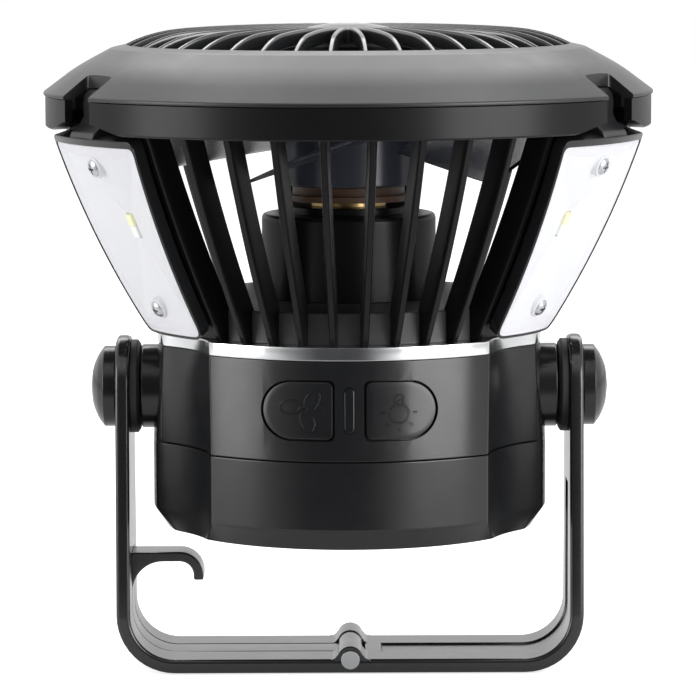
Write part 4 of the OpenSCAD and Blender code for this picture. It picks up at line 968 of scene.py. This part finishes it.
CARD_NEAR, CARD_R, CARD_HALF, CARD_LOW, CARD_TOP = 150, 520, 75, 0.5, 700
FADE_LEFT, FADE_RIGHT, FADE_NEAR, FADE_TOP = (-66, -16), (6, 38), (150, 250), (300, 660)
FLOOR_HALF, FLOOR_Z = 4000, -0.4
WORLD_LIGHT, FLOOR_GLOW = 0.55, 0.72
FOCAL, SENSOR, TILT, ROLL, EYE = 195.88, 36, 6.475, -0.213, (-0.321, -1025.52, 202.921)


def white_world():
    """White where it is seen, in mirrors and through clear pieces, and dimmer as a light."""
    world = bpy.data.worlds.new("studio")
    bpy.context.scene.world = world
    world.use_nodes = True
    tree = world.node_tree
    background = tree.nodes["Background"]
    background.inputs["Color"].default_value = (1, 1, 1, 1)
    rays = add(tree, "LightPath").outputs
    shown = larger(tree, rays["Is Camera Ray"], rays["Is Glossy Ray"])
    shown = larger(tree, shown, rays["Is Transmission Ray"])
    tree.links.new(ranged(tree, shown, WORLD_LIGHT, 1.0), background.inputs["Strength"])


def white_floor():
    """A white floor just under the foot."""
    material, tree, shader = new_material("floor_white")
    shader.inputs["Base Color"].default_value = (0.8, 0.8, 0.8, 1)
    shader.inputs["Roughness"].default_value = 0.9
    shader.inputs["Specular IOR Level"].default_value = 0.1
    rays = add(tree, "LightPath").outputs
    seen = larger(tree, rays["Is Camera Ray"], rays["Is Transmission Ray"])
    strength = add(tree, "Math", {0: seen, 1: FLOOR_GLOW}, operation="MULTIPLY").outputs[0]
    glow = add(tree, "Emission", {"Color": (1, 1, 1, 1), "Strength": strength})
    both = add(tree, "AddShader", {0: shader.outputs["BSDF"], 1: glow.outputs["Emission"]})
    tree.links.new(both.outputs["Shader"], tree.nodes["Material Output"].inputs["Surface"])
    corners = [(-1, -1), (1, -1), (1, 1), (-1, 1)]
    sheet = [(x * FLOOR_HALF, y * FLOOR_HALF, FLOOR_Z) for x, y in corners]
    piece("floor", (sheet, [[0, 1, 2, 3]]), material, None)


def lamps():
    """A soft lamp overhead and one on each side."""
    for name, place, target, width, height, power in (
        ("overhead", (0, 600, 1000), (0, 0, 90), 900, 900, 8),
        ("side_left", (-925, -375, 330), (0, 0, 100), 600, 700, 5.9),
        ("side_right", (790, -610, 330), (0, 0, 100), 700, 760, 9.8),
    ):
        data = bpy.data.lights.new(name, "AREA")
        data.shape, data.size, data.size_y, data.energy = "RECTANGLE", width * MM, height * MM, power
        lamp = bpy.data.objects.new(name, data)
        lamp.location = [c * MM for c in place]
        aim = Vector(target) - Vector(place)
        lamp.rotation_euler = aim.to_track_quat("-Z", "Y").to_euler()
        bpy.context.collection.objects.link(lamp)


def dark_card():
    """A dark card on the floor and in front, fading at its edges, that only reflections see."""
    material, tree, shader = new_material("dark_card")
    tree.nodes.remove(shader)
    fade = add(tree, "Attribute", attribute_name="fade").outputs["Fac"]
    dark = add(tree, "Emission", {"Color": (0.06, 0.06, 0.065, 1), "Strength": 1.0}).outputs[0]
    mix = add(tree, "MixShader", {0: fade, 1: add(tree, "BsdfTransparent").outputs[0], 2: dark})
    tree.links.new(mix.outputs[0], tree.nodes["Material Output"].inputs["Surface"])
    path = [(r, CARD_LOW) for r in spaced(CARD_NEAR, CARD_R, 8)[:-1]]
    path += [(CARD_R, z) for z in spaced(CARD_LOW, CARD_LOW + CARD_TOP, 20)]
    columns, n = 60, len(path)
    verts = [polar(r, az, z) for az in spaced(-CARD_HALF, CARD_HALF, columns) for r, z in path]
    faces = [[a, a + n, a + n + 1, a + 1] for i in range(columns) for a in range(i * n, i * n + n - 1)]
    card = piece("dark_card", (verts, faces), material, None)
    values = card.data.attributes.new("fade", "FLOAT", "POINT").data
    for vert, value in zip(card.data.vertices, values):
        x, y, z = vert.co / MM
        az = degrees(atan2(x, -y))
        sides = smooth_step(*FADE_LEFT, az) * (1 - smooth_step(*FADE_RIGHT, az))
        value.value = sides * (1 - smooth_step(*FADE_TOP, z)) * smooth_step(*FADE_NEAR, hypot(x, y))
    for ray in ("camera", "diffuse", "transmission", "volume_scatter", "shadow"):
        setattr(card, "visible_" + ray, False)


def camera():
    """The photograph's view: 6.5 degrees down from 1 m away, with a long lens."""
    data = bpy.data.cameras.new("camera")
    data.lens, data.sensor_width = FOCAL, SENSOR
    data.clip_start, data.clip_end = 0.05, 20
    view = bpy.data.objects.new("camera", data)
    view.matrix_world = (Matrix.Translation([c * MM for c in EYE])
                         @ Matrix.Rotation(pi / 2 - radians(TILT), 4, "X")
                         @ Matrix.Rotation(radians(ROLL), 4, "Z"))
    bpy.context.collection.objects.link(view)
    bpy.context.scene.camera = view


bpy.context.scene.view_settings.view_transform = "Standard"
white_world()
white_floor()
lamps()
dark_card()
camera()
